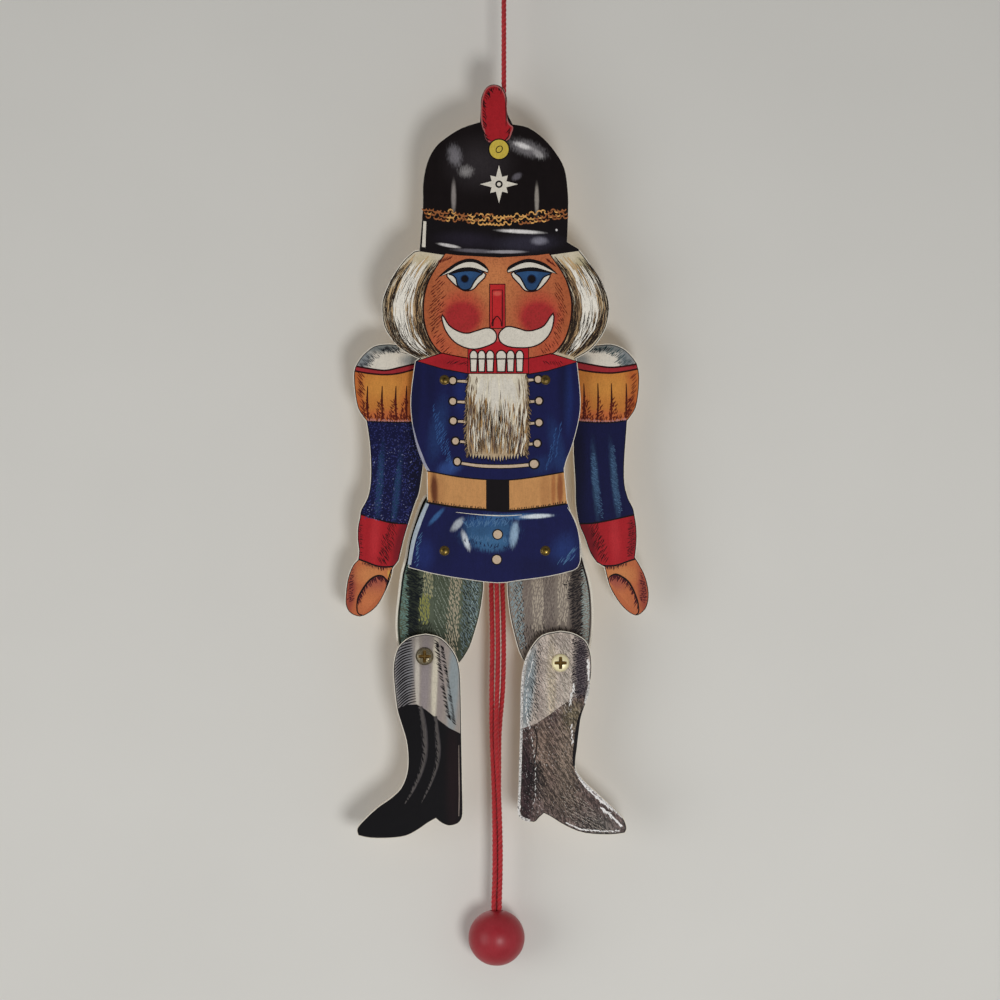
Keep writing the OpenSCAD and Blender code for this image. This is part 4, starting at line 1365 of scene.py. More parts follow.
SCLERAS = [[(-21.3, 47.6), (-19.6, 44.6), (-16.2, 41.7), (-13.2, 40.3), (-9.9, 41.0), (-7.8, 43.3),
            (-4.4, 47.3), (-9.9, 49.6), (-15.4, 49.4)],
           [(7.6, 47.6), (11.4, 42.9), (13.9, 40.3), (18.3, 40.3), (21.8, 42.9), (24.6, 47.9), (17.6, 49.7),
            (12.2, 49.6)]]
IRISES = [[(-20.4, 48.0), (-18.7, 47.2), (-17.2, 45.4), (-16.6, 42.7), (-14.4, 40.8), (-11.4, 41.2),
           (-9.9, 43.9), (-7.9, 46.5), (-5.8, 48.4), (-9.9, 49.9), (-15.4, 49.7)],
          [(8.9, 48.6), (11.4, 46.5), (13.0, 43.8), (14.8, 40.8), (18, 40.8), (20.0, 43.9), (21.8, 46.5),
           (25.4, 48.6), (17.6, 50.0), (12.2, 49.8)]]
PUPILS = [(-13.6, 45.4, 1.2), (16.5, 45.3, 1.35)]
TEETH = [(-9.6, 2.8), (-6.0, 2.7), (-2.2, 2.9), (2.8, 3.9), (7.0, 2.9), (11.1, 2.8)]


def curve_line(curve, *widths, steps=4):
    return ribbon(smooth(curve, steps), *widths)


class JACK_OT_body_picture(bpy.types.Operator):
    """Prints the helmet, face, hair, tunic, belt and skirt on the body"""

    bl_idname = "jack.body_picture"
    bl_label = "Body Picture"

    def execute(self, context):
        page = Picture("body_print", "doll", CENTRE, 1, "body_picture")
        page.ground()
        self.colours = settings()[0]
        self.ink = ink_material(page)
        self.red_ink = page.flat("red_ink", 0x2C0B0E)
        self.white = page.flat("white_paint", self.colours.cream, hairs=0.05)
        for draw in (self.helmet, self.plume, self.hair, self.face, self.mouth, self.tunic, self.beard,
                     self.belt, self.skirt):
            draw(page)
        return {"FINISHED"}

    def helmet(self, page):
        pale, grey = 0xE6E2E0, 0x8F8B90
        spots = [(-7, 97, 11, 9, 0x504A4E, 0, 0.9, 0.0, 0.3),
                 (14.6, 104.1, 7.4, 3.0, 0x7E7A7C, -19, 0.55, 1.6, 0.85),
                 (12.6, 105.3, 3.6, 1.1, pale, -19, 0.6, 1.2, 0.85),
                 (19.5, 101.5, 2.6, 1.3, pale, -40, 0.6, 1.6, 0.35),
                 (-18.1, 100.9, 2.7, 4.2, grey, 12, 0.6, 1.6, 0.6),
                 (-13.1, 93.8, 2.6, 2.2, 0xA7A3A2, 0, 0.7, 2.2, 0.6),
                 (9.8, 91.4, 2.2, 1.3, 0x77727A, 30, 0.5, 0.8, 0.6),
                 (-18.6, 82.4, 1.0, 6.5, 0x9C9490, 0, 0.5, 0.3, 0.75),
                 (18.8, 81.2, 0.9, 6.3, 0xA59D94, 0, 0.45, 0.3, 0.8)]
        page.flood("helmet", page.region(bottom=BRAID_LOW, extra=TO_THE_EDGE), BASE, self.colours.helmet,
                   spots, hairs=0.16)
        spots = [(-12, 63, 12, 3.2, 0x221D28, -4, 0.7), (14, 61.5, 12, 3.5, 0x2E2B38, 3, 0.7, 0.8),
                 (11.5, 66.7, 9.0, 0.8, pale, -3, 0.45, 0.5, 0.95),
                 (20, 62.5, 3.2, 1.6, 0x7C7A86, 0, 0.6, 0.8),
                 (-20.8, 60.4, 4.6, 0.7, 0xD5D0CE, -10, 0.4, 0.5, 0.9),
                 (-8.5, 58.0, 9, 0.8, 0x6E6A72, -3, 0.5, 0.6, 0.8),
                 (5, 57.6, 8, 0.7, 0x9B979C, 0, 0.4, 0.5), (27.7, 67.4, 0.45, 0.5, pale, 20, 0.4)]
        page.flood("helmet_band", page.region(top=BRAID_LOW, bottom=BRIM, extra=TO_THE_EDGE), BASE,
                   0x120D10, spots, hairs=0.14)
        strip = [(-32.2, 71.4), (-30.9, 71.2), (-31.3, 59.6), (-32.9, 59.8)]
        page.paint("helmet_strip", [strip], 4, self.white)
        lines = [ribbon([(-30.5, 71.3), (-31.0, 59)], 0.4), ribbon([(-32.5, 71.6), (-33.2, 59.4)], 0.35)]
        page.band("brim_line", BRIM, 1.1, 4, self.ink)
        page.paint("helmet_lines", lines, 4, self.ink)
        rng = random.Random(3)
        gold, brown = [], []
        top, low = smooth(BRAID_TOP), smooth(BRAID_LOW)
        for row, share in enumerate((0.14, 0.48, 0.8)):
            x = -31.8 + row * 0.9
            while x < 32:
                z = height_at(top, x) * (1 - share) + height_at(low, x) * share + rng.uniform(-0.25, 0.25)
                size = rng.uniform(0.75, 1.2)
                arc = [(size * math.cos(a), 0.8 * size * math.sin(a)) for a in (3.0, 3.9, 4.7, 5.5, 6.4)]
                if rng.random() < 0.3:
                    arc = [(a, -b) for a, b in arc]
                mark = ribbon(smooth([(x + a, z + 0.3 + b) for a, b in arc], 2), 0.35, 0.75, 0.3)
                (gold if rng.random() < 0.95 - abs(x - 2) / 36 else brown).append(mark)
                x += rng.uniform(1.3, 2.0)
        page.paint("braid_gold", gold, 5, 0xDCA45E, hairs=0.3)
        page.paint("braid_brown", brown, 6, 0x9C6038, hairs=0.35)
        star = [(1.8 + r * math.sin(a), 88.0 + r * math.cos(a)) for a,
                r in ((math.tau * i / 16, (8.6, 3.6, 5.6, 3.6)[i % 4]) for i in range(16))]
        page.paint("helmet_star", [star], 4, self.white)
        page.paint("helmet_star_centre", [oval(1.8, 88, 1.7)], 5, self.ink)
        page.paint("helmet_star_dot", [oval(1.8, 88, 0.9)], 6, self.white)

    def plume(self, page):
        shape = blob([(-2.9, 107.2), (-5, 112.4), (-6.0, 116.4), (-6.1, 122.3), (-5.5, 127.2),
                      (-3.8, 131.0), (-0.5, 132.4), (2.7, 131.0), (4.6, 127.2), (5.2, 120.5), (5.3, 117.6),
                      (6.4, 115.0), (7.9, 113.6), (7.3, 111.2), (5.2, 107.8)], 3)
        page.outlined("plume", [inset(shape[::-1], 0.35)], 4, page.flat("plume_rim_paint", 0xA8605E), 0.6,
                      self.colours.scarlet, hairs=0.1)
        rng = random.Random(5)
        left = [(-3.6, 107.8), (-5.1, 112.4), (-5.7, 118), (-5.6, 124), (-4.6, 128.4), (-2.6, 131)]
        barbs = hatch(rng, left, 22, -62, 2.8, 0.45, 0.1, 10, 0.16, -48)
        barbs += hatch(rng, [(-2.6, 131.2), (0.5, 132), (3, 130.5)], 7, -95, 1.8, 0.35, 0.1, 12)
        barbs += hatch(rng, [(6.9, 113.8), (6.7, 111.2), (5.0, 108.2)], 6, 240, 2.6, 0.4, 0.1, 8)
        barbs += [curve_line([(4.6, 127), (5.0, 120), (5.0, 114)], 0.2, 0.5, 0.2)]
        page.paint("plume_barbs", barbs, 6, self.ink)
        page.paint("cockade_ink", [oval(1.8, 103.7, 4.9)], 7, self.ink)
        page.paint("cockade", [oval(1.8, 103.7, 4.35)], 8, 0xCDB44A, hairs=0.12)
        ring = oval(1.9, 103.7, 1.65, 1.25, 50) + [oval(1.9, 103.7, 1.65, 1.25, 50)[0]]
        page.paint("cockade_ring", [ribbon(ring, 0.4)], 9, self.ink)

    def hair(self, page):
        spots = [(-27, 17, 7, 9, 0xB59B7A, 30, 0.7, 0.8, 0.7), (36, 17, 7, 9, 0xB0946C, -25, 0.7, 0.8, 0.7),
                 (-38, 27, 4, 12, 0xC9AE86, 5, 0.6, 1.0, 0.7), (40, 51, 4, 5, 0xB3A678, 40, 0.6, 0.7, 0.6),
                 (-32, 53.5, 5, 3, 0xC8B892, 0, 0.6, 0.8, 0.6), (43, 26, 4, 9, 0xC29A66, -12, 0.6, 1, 0.7),
                 (-47.5, 31, 3, 14, 0x9C8A72, 0, 0.6, 0.8, 0.6),
                 (49, 31, 2.5, 12, 0xA08C6C, 0, 0.6, 0.8, 0.6), (43, 37, 4, 10, 0xF1ECE0, 0, 0.6, 0.8),
                 (-40, 42, 4, 9, 0xF1ECE0, -15, 0.6, 0.8)]
        page.flood("hair", page.region(top=BRIM, bottom=COLLAR_LOW), BASE, self.colours.hair, spots,
                   hairs=0.12)
        locks = {name: [] for name in HAIR_PAINTS}
        rng = random.Random(7)
        for guides in (LEFT_HAIR, RIGHT_HAIR):
            outer, inner = (smooth(g) for g in guides)
            for name, *row in HAIR_LOCKS:
                locks[name] += strands(rng, outer, inner, *row)
        for i, (name, (code, hairs)) in enumerate(HAIR_PAINTS.items()):
            page.paint("hair_" + name, locks[name], 3 + i, code, hairs=hairs)
        sides = [curve_line(line, 0.4, 0.8, 0.55) for line in (LEFT_CHEEK_LINE, RIGHT_CHEEK_LINE)]
        page.paint("face_sides", [cut(s, BRIM, -1) for s in sides], 8, 0x24120E)

    def face(self, page):
        outline = smooth(LEFT_CHEEK_LINE) + smooth([(-12, 9.4), (1.5, 8.9), (14.9, 9.4)]) + smooth(
            RIGHT_CHEEK_LINE)[::-1]
        blush, shadow = 0xA82A2E, 0xA85632
        spots = [(-30, 32, 4, 22, shadow, 0, 0.7, 0.3, 0.6), (32, 32, 4, 22, shadow, 0, 0.7, 0.3, 0.6),
                 (-22, 14, 8, 5, 0xC1553A, -35, 0.7, 0.3, 0.6), (24, 14, 8, 5, 0xC1553A, 35, 0.7, 0.3, 0.7),
                 (0, 45, 8, 10, 0xD58B55, 0, 0.8, 0.4, 0.6),
                 *((x, 29.5, 10, 10, 0xBC4636, 0, 0.35, 0.3, 0.75) for x in (-14.8, 19.6)),
                 *((x, 28, 8, 7.2, blush, 0, 0.25, 0.25, 0.95) for x in (-14.8, 19.4))]
        page.paint("face", [cut(outline, BRIM, -1)], 7, self.colours.skin, spots, hairs=0.08, grit=0.3)
        rng = random.Random(9)
        marks = patch(rng, [(-27, 47), (-23.4, 46), (-22.6, 30), (-25.4, 22), (-19, 12.6), (-21, 10),
                            (-28, 20), (-29.6, 32)], 42, 2.8, 0.4, 1.05, 4)
        marks += patch(rng, [(26.6, 44), (29.6, 43), (32, 30), (29, 17), (22, 10.6), (20.6, 13), (26.4, 20),
                             (28.4, 30)], 122, 2.2, 0.36, 1.05, 5)
        marks += hatch(rng, [(-26, 52), (-20, 54.5)], 7, 52, 2.8, 0.4) + hatch(
            rng, [(24, 53), (28, 50.5)], 7, 130, 2.8, 0.4)
        page.paint("face_hatch", marks, 8, 0x5C1B12)
        whites = [blob(s, 3) for s in SCLERAS]
        page.outlined("eye_whites", whites, 8, self.red_ink, 0.6, self.white)
        page.paint("iris_ink", [grown(blob(s, 3), 0.62) for s in IRISES], 10, self.ink)
        page.paint("irises", [blob(s, 3) for s in IRISES], 11, 0x2A486E,
                   [(-13.6, 47.5, 4, 2, 0x2F5480, 0, 0.7), (16.6, 47.5, 4, 2, 0x2F5480, 0, 0.7)], hairs=0.1)
        page.paint("pupil_rings", [oval(x, z, 1.6 * r) for x, z, r in PUPILS], 12, 0x1A2C4E)
        page.paint("pupils", [oval(x, z, 1.25 * r) for x, z, r in PUPILS], 14, self.ink)
        lids = [curve_line(shifted([s[0], s[-1], s[-2], s[-3]], 0, -0.5), 0.3, 1.5, 1.4, 0.3) for s in IRISES]
        page.paint("eye_lids", lids, 14, self.ink)
        inks, whites = [], []
        for top, low in BROWS:
            inks.append(smooth(top) + smooth(low))
            fore = [(x, z - 1.15) for x, z in top[1:-1]]
            whites.append(smooth([top[0], *fore, (top[-1][0], top[-1][1] - 0.3)]) + smooth(low))
        page.paint("brow_ink", [grown(s, 0.3) for s in inks], 12, self.ink)
        page.paint("brows", [inset(s if area(s) > 0 else s[::-1], 0.1) for s in whites], 13, self.white)
        nose = [(-2.3, 23.3), (4.4, 23.3), (4.3, 42.8), (-2.2, 42.8)]
        page.outlined("nose", [nose], 9, self.red_ink, 0.4, 0xC02A2C,
                      [(1, 38.8, 1.8, 1.0, 0xD56052, 0, 0.5, 0.3, 0.8),
                       (3.4, 32, 0.5, 9, 0x8E1C24, 0, 0.6)], hairs=0.08)
        lines = [ribbon([(-1.2, 24), (-1.2, 40.4)], 0.28), ribbon([(3.3, 24), (3.3, 40.4)], 0.3),
                 ribbon([(-1.2, 40.4), (3.3, 40.4)], 0.28),
                 curve_line([(-0.9, 24), (-0.7, 26.6), (0.9, 28.6), (2.6, 26.6), (2.9, 24)], 0.45),
                 ribbon([(-2.2, 23.4), (-1.0, 27), (0.9, 28.6)], 0.3)]
        page.paint("nose_lines", lines, 11, self.red_ink)

    def mouth(self, page):
        collar = COLLAR_LOW + smooth([(25.2, 11.6), (14.9, 9.5), (1.5, 8.8), (-12, 9.5), (-23.9, 11.8)])
        spots = [(-22, 8, 7, 2, 0x8E1A22, 8, 0.7, 0.8, 0.4)]
        page.outlined("collar", [collar], 7, self.ink, 0.45, self.colours.scarlet, spots, hairs=0.1)
        rng = random.Random(15)
        marks = hatch(rng, [(-22, 7.2), (-12.5, 6.6)], 9, 25, 3.6, 0.3, 0.6, 6) + hatch(
            rng, [(21, 8.4), (30, 8.4)], 9, -52, 3.0, 0.3, 0.4, 6)
        page.paint("collar_hatch", marks, 9, self.red_ink)
        lips = [(-12, 3.0), (14.9, 3.0), (14.9, 14.6), (8, 14.8), (4, 16.0), (1.2, 17.4), (0.6, 17.4),
                (-2.4, 15.4), (-7, 14.0), (-12, 13.8)]
        page.outlined("mouth", [lips], 9, self.red_ink, 0.36, 0xB32028, hairs=0.1)
        page.paint("lip_cleft", [[(0.0, 17.2), (2.2, 17.2), (1.9, 22.8), (0.3, 22.8)]], 11, 0xC4524E,
                   hairs=0.1)
        top_row, low_row = [], []
        for x, w in TEETH:
            h = w / 2
            top_row.append(smooth([(x - h, 9.7), (x - h, 11.4), (x - h * 0.55, 12.6), (x, 12.9),
                                   (x + h * 0.55, 12.6), (x + h, 11.4), (x + h, 9.7)], 3)[::-1])
            low_row.append([(x - h * 0.78, 3.9), (x + h * 0.74, 3.9), (x + h * 0.92, 9.2),
                            (x - h * 0.92, 9.2)])
        page.outlined("teeth", top_row + low_row, 11, self.red_ink, 0.6, self.white)
        page.paint("teeth_line", [curve_line([(-12, 9.3), (1.5, 9.2), (14.9, 9.5)], 0.32)], 13, self.red_ink)
        page.outlined("moustache", [blob(s, 3) for s in MOUSTACHE], 13, self.red_ink, 0.6, self.white)

    def tunic(self, page):
        blue, dark = 0x223868, 0x0D0E26
        spots = [(-25.6, -22, 3.6, 13, blue, -10, 0.6, 0.9, 0.75),
                 (-20.5, -39.5, 5, 3, 0x33508E, 20, 0.6, 0.9, 0.7),
                 (28, -31, 3, 12, blue, 12, 0.6, 0.9, 0.7), (22, -38, 6, 3.6, blue, 20, 0.6, 1, 0.5),
                 (33, -9, 2, 14, 0x1E3068, 0, 0.6, 0.5, 0.6), (-15, -5, 3, 10, 0x223579, 0, 0.7, 0.6, 0.4),
                 (-35.5, -8, 2, 20, dark, -3, 0.6, 0.3, 0.5), (-29, 0, 3, 16, dark, 0, 0.8, 0.3, 0.35),
                 (30.5, -3, 2, 14, dark, 0, 0.8, 0.3, 0.5)]
        page.flood("tunic", page.region(top=COLLAR_LOW, bottom=BELT_TOP, extra=-0.4), BASE,
                   self.colours.navy, spots, hairs=0.14)
        rng = random.Random(17)
        strokes = []
        for x, low, high in ((-27.5, -30, -12), (-25.5, -34, -16), (-23.5, -38, -20), (-21.5, -41, -28)):
            strokes += hatch(rng, [(x + 1.6, low), (x - 0.8, high)], 16, 58, 2.4, 0.3, 0.3, 6, 0.04)
        for x, low, high in ((26, -38, -22), (28.2, -36, -20), (24, -41, -30)):
            strokes += hatch(rng, [(x - 1.2, low), (x + 1.2, high)], 14, 66, 2.0, 0.26, 0.3, 6, 0.04)
        page.paint("tunic_strokes", strokes, 3, 0x34568C, hairs=0.2)
        rim = [(-37.2, -20), (-35.0, -29), (-31.8, -37.5), (-29.6, -41.2)]
        page.paint("tunic_rim", [ribbon(smooth(rim), 0.3, 1.3, 0.9)], 3, 0x9A9AAA, hairs=0.2)
        cream = page.flat("button_paint", self.colours.button, hairs=0.06)
        discs, bars = [], []
        for x, z, edge in ((-19, -0.4, -11.6), (-19, -9.7, -12.6), (-18.8, -18.5, -12.6),
                           (-17.8, -27.6, -12.6), (19.4, 0.2, 14.2), (19.8, -9.5, 15.0),
                           (19.8, -19.3, 15.0), (19, -28.6, 14.6)):
            discs.append(oval(x, z, 1.45, 1.5))
            bars.append(ribbon([(x, z - 0.1), (edge, z - 0.4)], 0.75, 1.25))
        discs += [oval(-17, -36.8, 1.4, 1.6), oval(17.6, -37.9, 1.9, 1.8)]
        bars.append(curve_line([(-16, -37.4), (-8, -38.6), (0, -39), (8, -38.9), (16, -38.2)], 1.0, 1.3,
                               1.3, 1.3))
        page.outlined("frog_bars", bars, 4, self.ink, 0.4, cream)
        page.outlined("buttons", discs, 6, self.ink, 0.7, cream)

    def beard(self, page):
        rng = random.Random(19)
        left = [(-11.6, 2.6), (-12.7, -6), (-12.6, -15), (-12.9, -25), (-11.8, -33.4)]
        right = [(14.0, 2.6), (14.9, -9), (14.7, -19), (14.6, -27), (13.6, -33.6)]
        tips = []
        for i in range(19):
            share = (i + 0.5) / 19
            x = left[-1][0] + (right[-1][0] - left[-1][0]) * share
            drop = 1.8 * math.sin(math.pi * share) - 1.3
            tips.append((x - 0.55, -33.8 - drop + rng.uniform(0, 0.6)))
            tips.append((x + rng.uniform(-0.3, 0.3), -35.4 - drop - rng.uniform(0, 1.2)))
        outline = smooth(left, 3) + tips + smooth(right, 3)[::-1]
        spots = [(-11, -20, 3.5, 16, 0xA8926F, 0, 0.6, 1, 0.8), (13, -16, 3, 18, 0xA08A6C, 0, 0.6, 1, 0.8),
                 (1, -29, 15, 9, 0xA98B66, 0, 0.6, 1.4, 0.85), (3, -19, 6, 8, 0xCDB78C, 0, 0.7, 1, 0.6)]
        page.paint("beard_ink", [grown(outline, 0.4)], 8, self.ink)
        page.paint("beard", [outline], 9, 0xDDD4BF, spots, hairs=0.12, fineness=2.6)
        sets = (("tan", 0xB08A58, 150, 0.5, (0.2, 0.86)), ("brown", 0x5E4430, 150, 0.3, (0.25, 0.9)),
                ("pale", 0xE9E1CE, 150, 0.45, (0.0, 0.86)), ("grey", 0x6F6260, 70, 0.26, (0.1, 0.9)))
        left, right = smooth(left), smooth(right)
        for i, (name, code, count, width, start) in enumerate(sets):
            marks = strands(rng, left, right, count, (0.02, 0.98), start, 0.2, width, 0.008)
            if name == "brown":
                for across in ((0.0, 0.16), (0.84, 1.0)):
                    marks += strands(rng, left, right, 60, across, (0.0, 0.9), 0.12, 0.3, 0.006)
            page.paint("beard_" + name, marks, 10 + i, code, hairs=0.2)
        fan = []
        for i in range(34):
            x = rng.uniform(-6, 8)
            fan.append(leaf(x, rng.uniform(0, 2), -90 + (x - 1) * 2.4,
                            rng.uniform(9, 24 - 1.6 * abs(x - 1)), 0.8, 0.02))
        page.paint("beard_core", fan, 14, self.white)
        fringe = hatch(rng, left, 46, 248, 2.4, 0.42, 0.3, 14) + hatch(
            rng, right, 46, 292, 2.4, 0.42, 0.3, 14)
        page.paint("beard_fringe", fringe, 14, 0x8E7656, hairs=0.3)
        lines = hatch(rng, left, 40, 250, 2.2, 0.24, 0.4, 14) + hatch(rng, right, 40, 290, 2.2, 0.24, 0.4, 14)
        lines += strands(rng, left, right, 110, (0.05, 0.95), (0.3, 0.84), 0.2, 0.22, 0.008)
        page.paint("beard_lines", lines, 15, 0x2A1E16, hairs=0.3)

    def belt(self, page):
        brown = 0x87492B
        spots = [(-27.2, -49.5, 1.7, 7.5, 0x5E2E1C, 3, 0.5, 0.6, 0.95),
                 (-24.4, -50, 1.6, 7, 0xAE7A4B, 0, 0.7, 0.6, 0.6),
                 (22.5, -50, 2.2, 8, 0xB27C4C, 0, 0.4, 0.5, 0.7),
                 (26.3, -49.5, 1.0, 8, 0xA4653A, 0, 0.5, 0.5, 0.8),
                 (29.3, -49, 1.3, 8, brown, 0, 0.5, 0.5, 0.85)]
        page.flood("belt", page.region(top=BELT_TOP, bottom=BELT_LOW, extra=-0.35), 3, self.colours.ochre,
                   spots, hairs=0.12, grit=0.1)
        buckle = [(-4, -59), (6.5, -59), (6.4, -45), (-4, -45)]
        page.paint("belt_buckle", [buckle], 4, self.ink)
        page.paint("belt_lines", [curve_line(BELT_TOP, 0.55), curve_line(BELT_LOW, 0.8, 1.0, 0.8)], 5,
                   self.ink)
        rng = random.Random(21)
        ticks = hatch(rng, shifted(BELT_LOW, 0, 0.4), 60, 90, 0.9, 0.4, 0.1, 14)
        page.paint("belt_ticks", ticks, 6, self.ink)

    def skirt(self, page):
        pale = 0xD9E0E6
        spots = [(-3, -68.5, 12, 7, 0x33587F, 4, 0.35, 1.3, 0.95),
                 (-1, -73.5, 7, 3.5, 0x3F6A92, 0, 0.5, 1.3, 0.8),
                 (-6, -63.6, 9, 2.4, 0x2C5284, 0, 0.5, 1.1, 0.7),
                 (9, -61.6, 14, 1.3, 0x3F6C9C, 2, 0.5, 0.8, 0.8),
                 (18.5, -61.4, 6.5, 0.95, pale, 3, 0.4, 0.6, 0.95),
                 (-26.4, -61.6, 4.4, 1.0, 0x3A6498, 48, 0.5, 0.8, 0.85),
                 (-17.0, -65.2, 3.4, 1.5, pale, 48, 0.45, 0.9, 0.95),
                 (-13.2, -72.2, 4.2, 1.2, pale, -70, 0.5, 1.0, 0.9),
                 (8.6, -69.6, 1.7, 5.2, 0x9DB8D0, -8, 0.5, 1.0, 0.85),
                 (31, -77, 5, 7, 0x2B4584, -20, 0.7, 1, 0.45), (-32, -79, 4, 6, 0x26397C, 0, 0.7, 0.8, 0.4),
                 (20, -84, 12, 4, 0x14163C, 0, 0.7, 0.3, 0.6),
                 (-20, -72, 5, 12, 0x14183F, -20, 0.7, 0.4, 0.5)]
        page.flood("skirt", page.region(top=BELT_LOW, extra=-0.4), BASE, self.colours.navy, spots, hairs=0.14)
        rng = random.Random(23)
        side = smooth([(-31.6, -55.6), (-34.3, -61.8), (-37.8, -72), (-39.8, -83.2)])
        band = [ribbon([(x + 1.25, z) for x, z in side], 1.6, 1.9, 1.5)]
        page.paint("skirt_side", band, 3, 0xA9B4BE, hairs=0.25)
        light = [curve_line([(-17.6, -59.6), (-6, -60.8), (4, -61.2), (12.2, -60.8)], 0.15, 0.45, 0.2),
                 curve_line([(32.6, -57.5), (36.2, -63.6), (38.1, -72), (38.4, -81)], 0.2, 0.35, 0.3)]
        page.paint("skirt_light", light, 4, self.white)
        page.paint("skirt_strokes",
                   page.within(hatch(rng, [(29, -84), (37, -76)], 22, 52, 4.0, 0.28, 1.6, 6, 0.03)
                               + hatch(rng, [(-36, -84), (-34, -70)], 16, 55, 2.2, 0.3, 0.8, 6)
                               + hatch(rng, [(-14, -66), (7, -65)], 46, 80, 3.0, 0.32, 2.0, 22)
                               + hatch(rng, [(-12, -72), (6, -73)], 40, 95, 2.6, 0.3, 1.6, 26)), 3,
                   0x4C7096, hairs=0.2)
        page.paint("skirt_dark", hatch(rng, [(-15, -73), (7, -77)], 24, 80, 2.2, 0.32, 1.2, 24)
                   + hatch(rng, [(-14, -63), (8, -63)], 14, 70, 1.6, 0.3, 1.2, 30), 5, 0x171A40)
        discs = [oval(1.2, -69.6, 1.95), oval(0.8, -80.9, 1.95)]
        page.outlined("skirt_buttons", discs, 6, self.ink, 0.5, self.colours.button, hairs=0.06)


ARMS = {
    "left": {
        "stripe": [[(8, 8.6), (13.0, 7.5), (20, 5.8), (26.9, 4.4), (34, 5.2), (41.2, 6.5), (46, 7.4)],
                   [(8, 6.3), (13.0, 5.1), (20, 3.2), (26.4, 2.5), (34, 3.0), (41.6, 4.4), (46, 5.3)]],
        "fringe": [(6, -18.2), (8, -18.4), (22, -18.6), (36.4, -18.1), (46, -17.6)],
        "folds": [34.8, 28.2, 22.0, 17.2], "fold_top": -2.6,
        "outer_nicks": [(36.2, 3), (39.6, 3), (39.9, -6), (37.4, -17), (34.6, -17), (37, -6)],
        "streaks": [[(29.2, -32), (29.2, -46), (31.3, -61)], [(20.6, -38), (21.6, -50), (23.4, -62)]],
        "cuff_top": [(8, -64.9), (14.9, -64.8), (23.2, -64.5), (30, -62.9), (38.1, -60.5), (48, -57.5)],
        "cuff_low": [(10, -66), (14, -73), (17.6, -77.8), (20.7, -82), (23.8, -84.1), (30, -84), (35.6, -82),
                     (39.3, -80.7), (50, -77)],
        "band": [(21.6, -65.2), (25.4, -64.8), (28.2, -74), (30.4, -83.6), (26.2, -83.8), (23.6, -74)],
        "thumb": [(32.8, -106.2), (38.9, -105.4), (39.4, -99.5), (37.6, -95.3), (34.5, -90.9),
                  (31.4, -88.6), (28.6, -88.3), (26.7, -89.6), (26.2, -91)],
        "palm": [(24.1, -85.4), (25.0, -88.4), (26.2, -92.8), (27.9, -97.7), (30.9, -102.9), (33.4, -105.4)],
    },
    "right": {
        "stripe": [[(8, 9.6), (12.4, 8.6), (20, 7.1), (28.5, 5.8), (35, 6.2), (42.6, 7.5), (48, 8.4)],
                   [(8, 6.4), (12.4, 5.4), (20, 3.9), (28.5, 3.2), (35, 3.8), (43.2, 5.4), (48, 6.6)]],
        "fringe": [(4, -17), (6, -17.4), (18, -18.4), (28, -18.8), (37.8, -17.6), (48, -16.6)],
        "folds": [17.4, 23.7, 29.8, 36.5], "fold_top": -1.4,
        "outer_nicks": [(38.4, 4), (42, 4), (42.4, -4), (40, -16), (37, -16), (39.4, -5)],
        "streaks": [[(21.4, -32), (22.6, -46), (25.6, -62)], [(30.4, -28), (31.3, -46), (34, -60.5)]],
        "cuff_top": [(8, -64.9), (14.9, -64.8), (21.4, -64.6), (28.3, -63.4), (35.2, -61.9),
                     (40.5, -60.7), (50, -58.5)],
        "cuff_low": [(12, -66), (16, -73), (20.1, -77.1), (23.1, -81.9), (25.9, -83.7), (31.8, -83.6),
                     (36.9, -81.9), (41.4, -80.5), (52, -77.5)],
        "band": [(19.8, -64.8), (23.4, -64.6), (26.2, -74), (29.8, -83.2), (25.4, -83.4), (22, -74)],
        "thumb": [(34.5, -106), (41.4, -105.6), (41.9, -101.2), (40.3, -96), (37.9, -91.5), (35.2, -89.1),
                  (32.4, -87.7), (30.4, -87.9), (28.8, -89.1), (28.3, -91.4)],
        "palm": [(26.4, -85.2), (27.6, -89.5), (28.6, -94.3), (30.4, -98.6), (33.5, -102.8), (36.4, -105.4)],
    },
}




# The inner lobe of an arm ends here, in millimetres from its pivot
LOBE_X, LOBE_Z = 4, -11


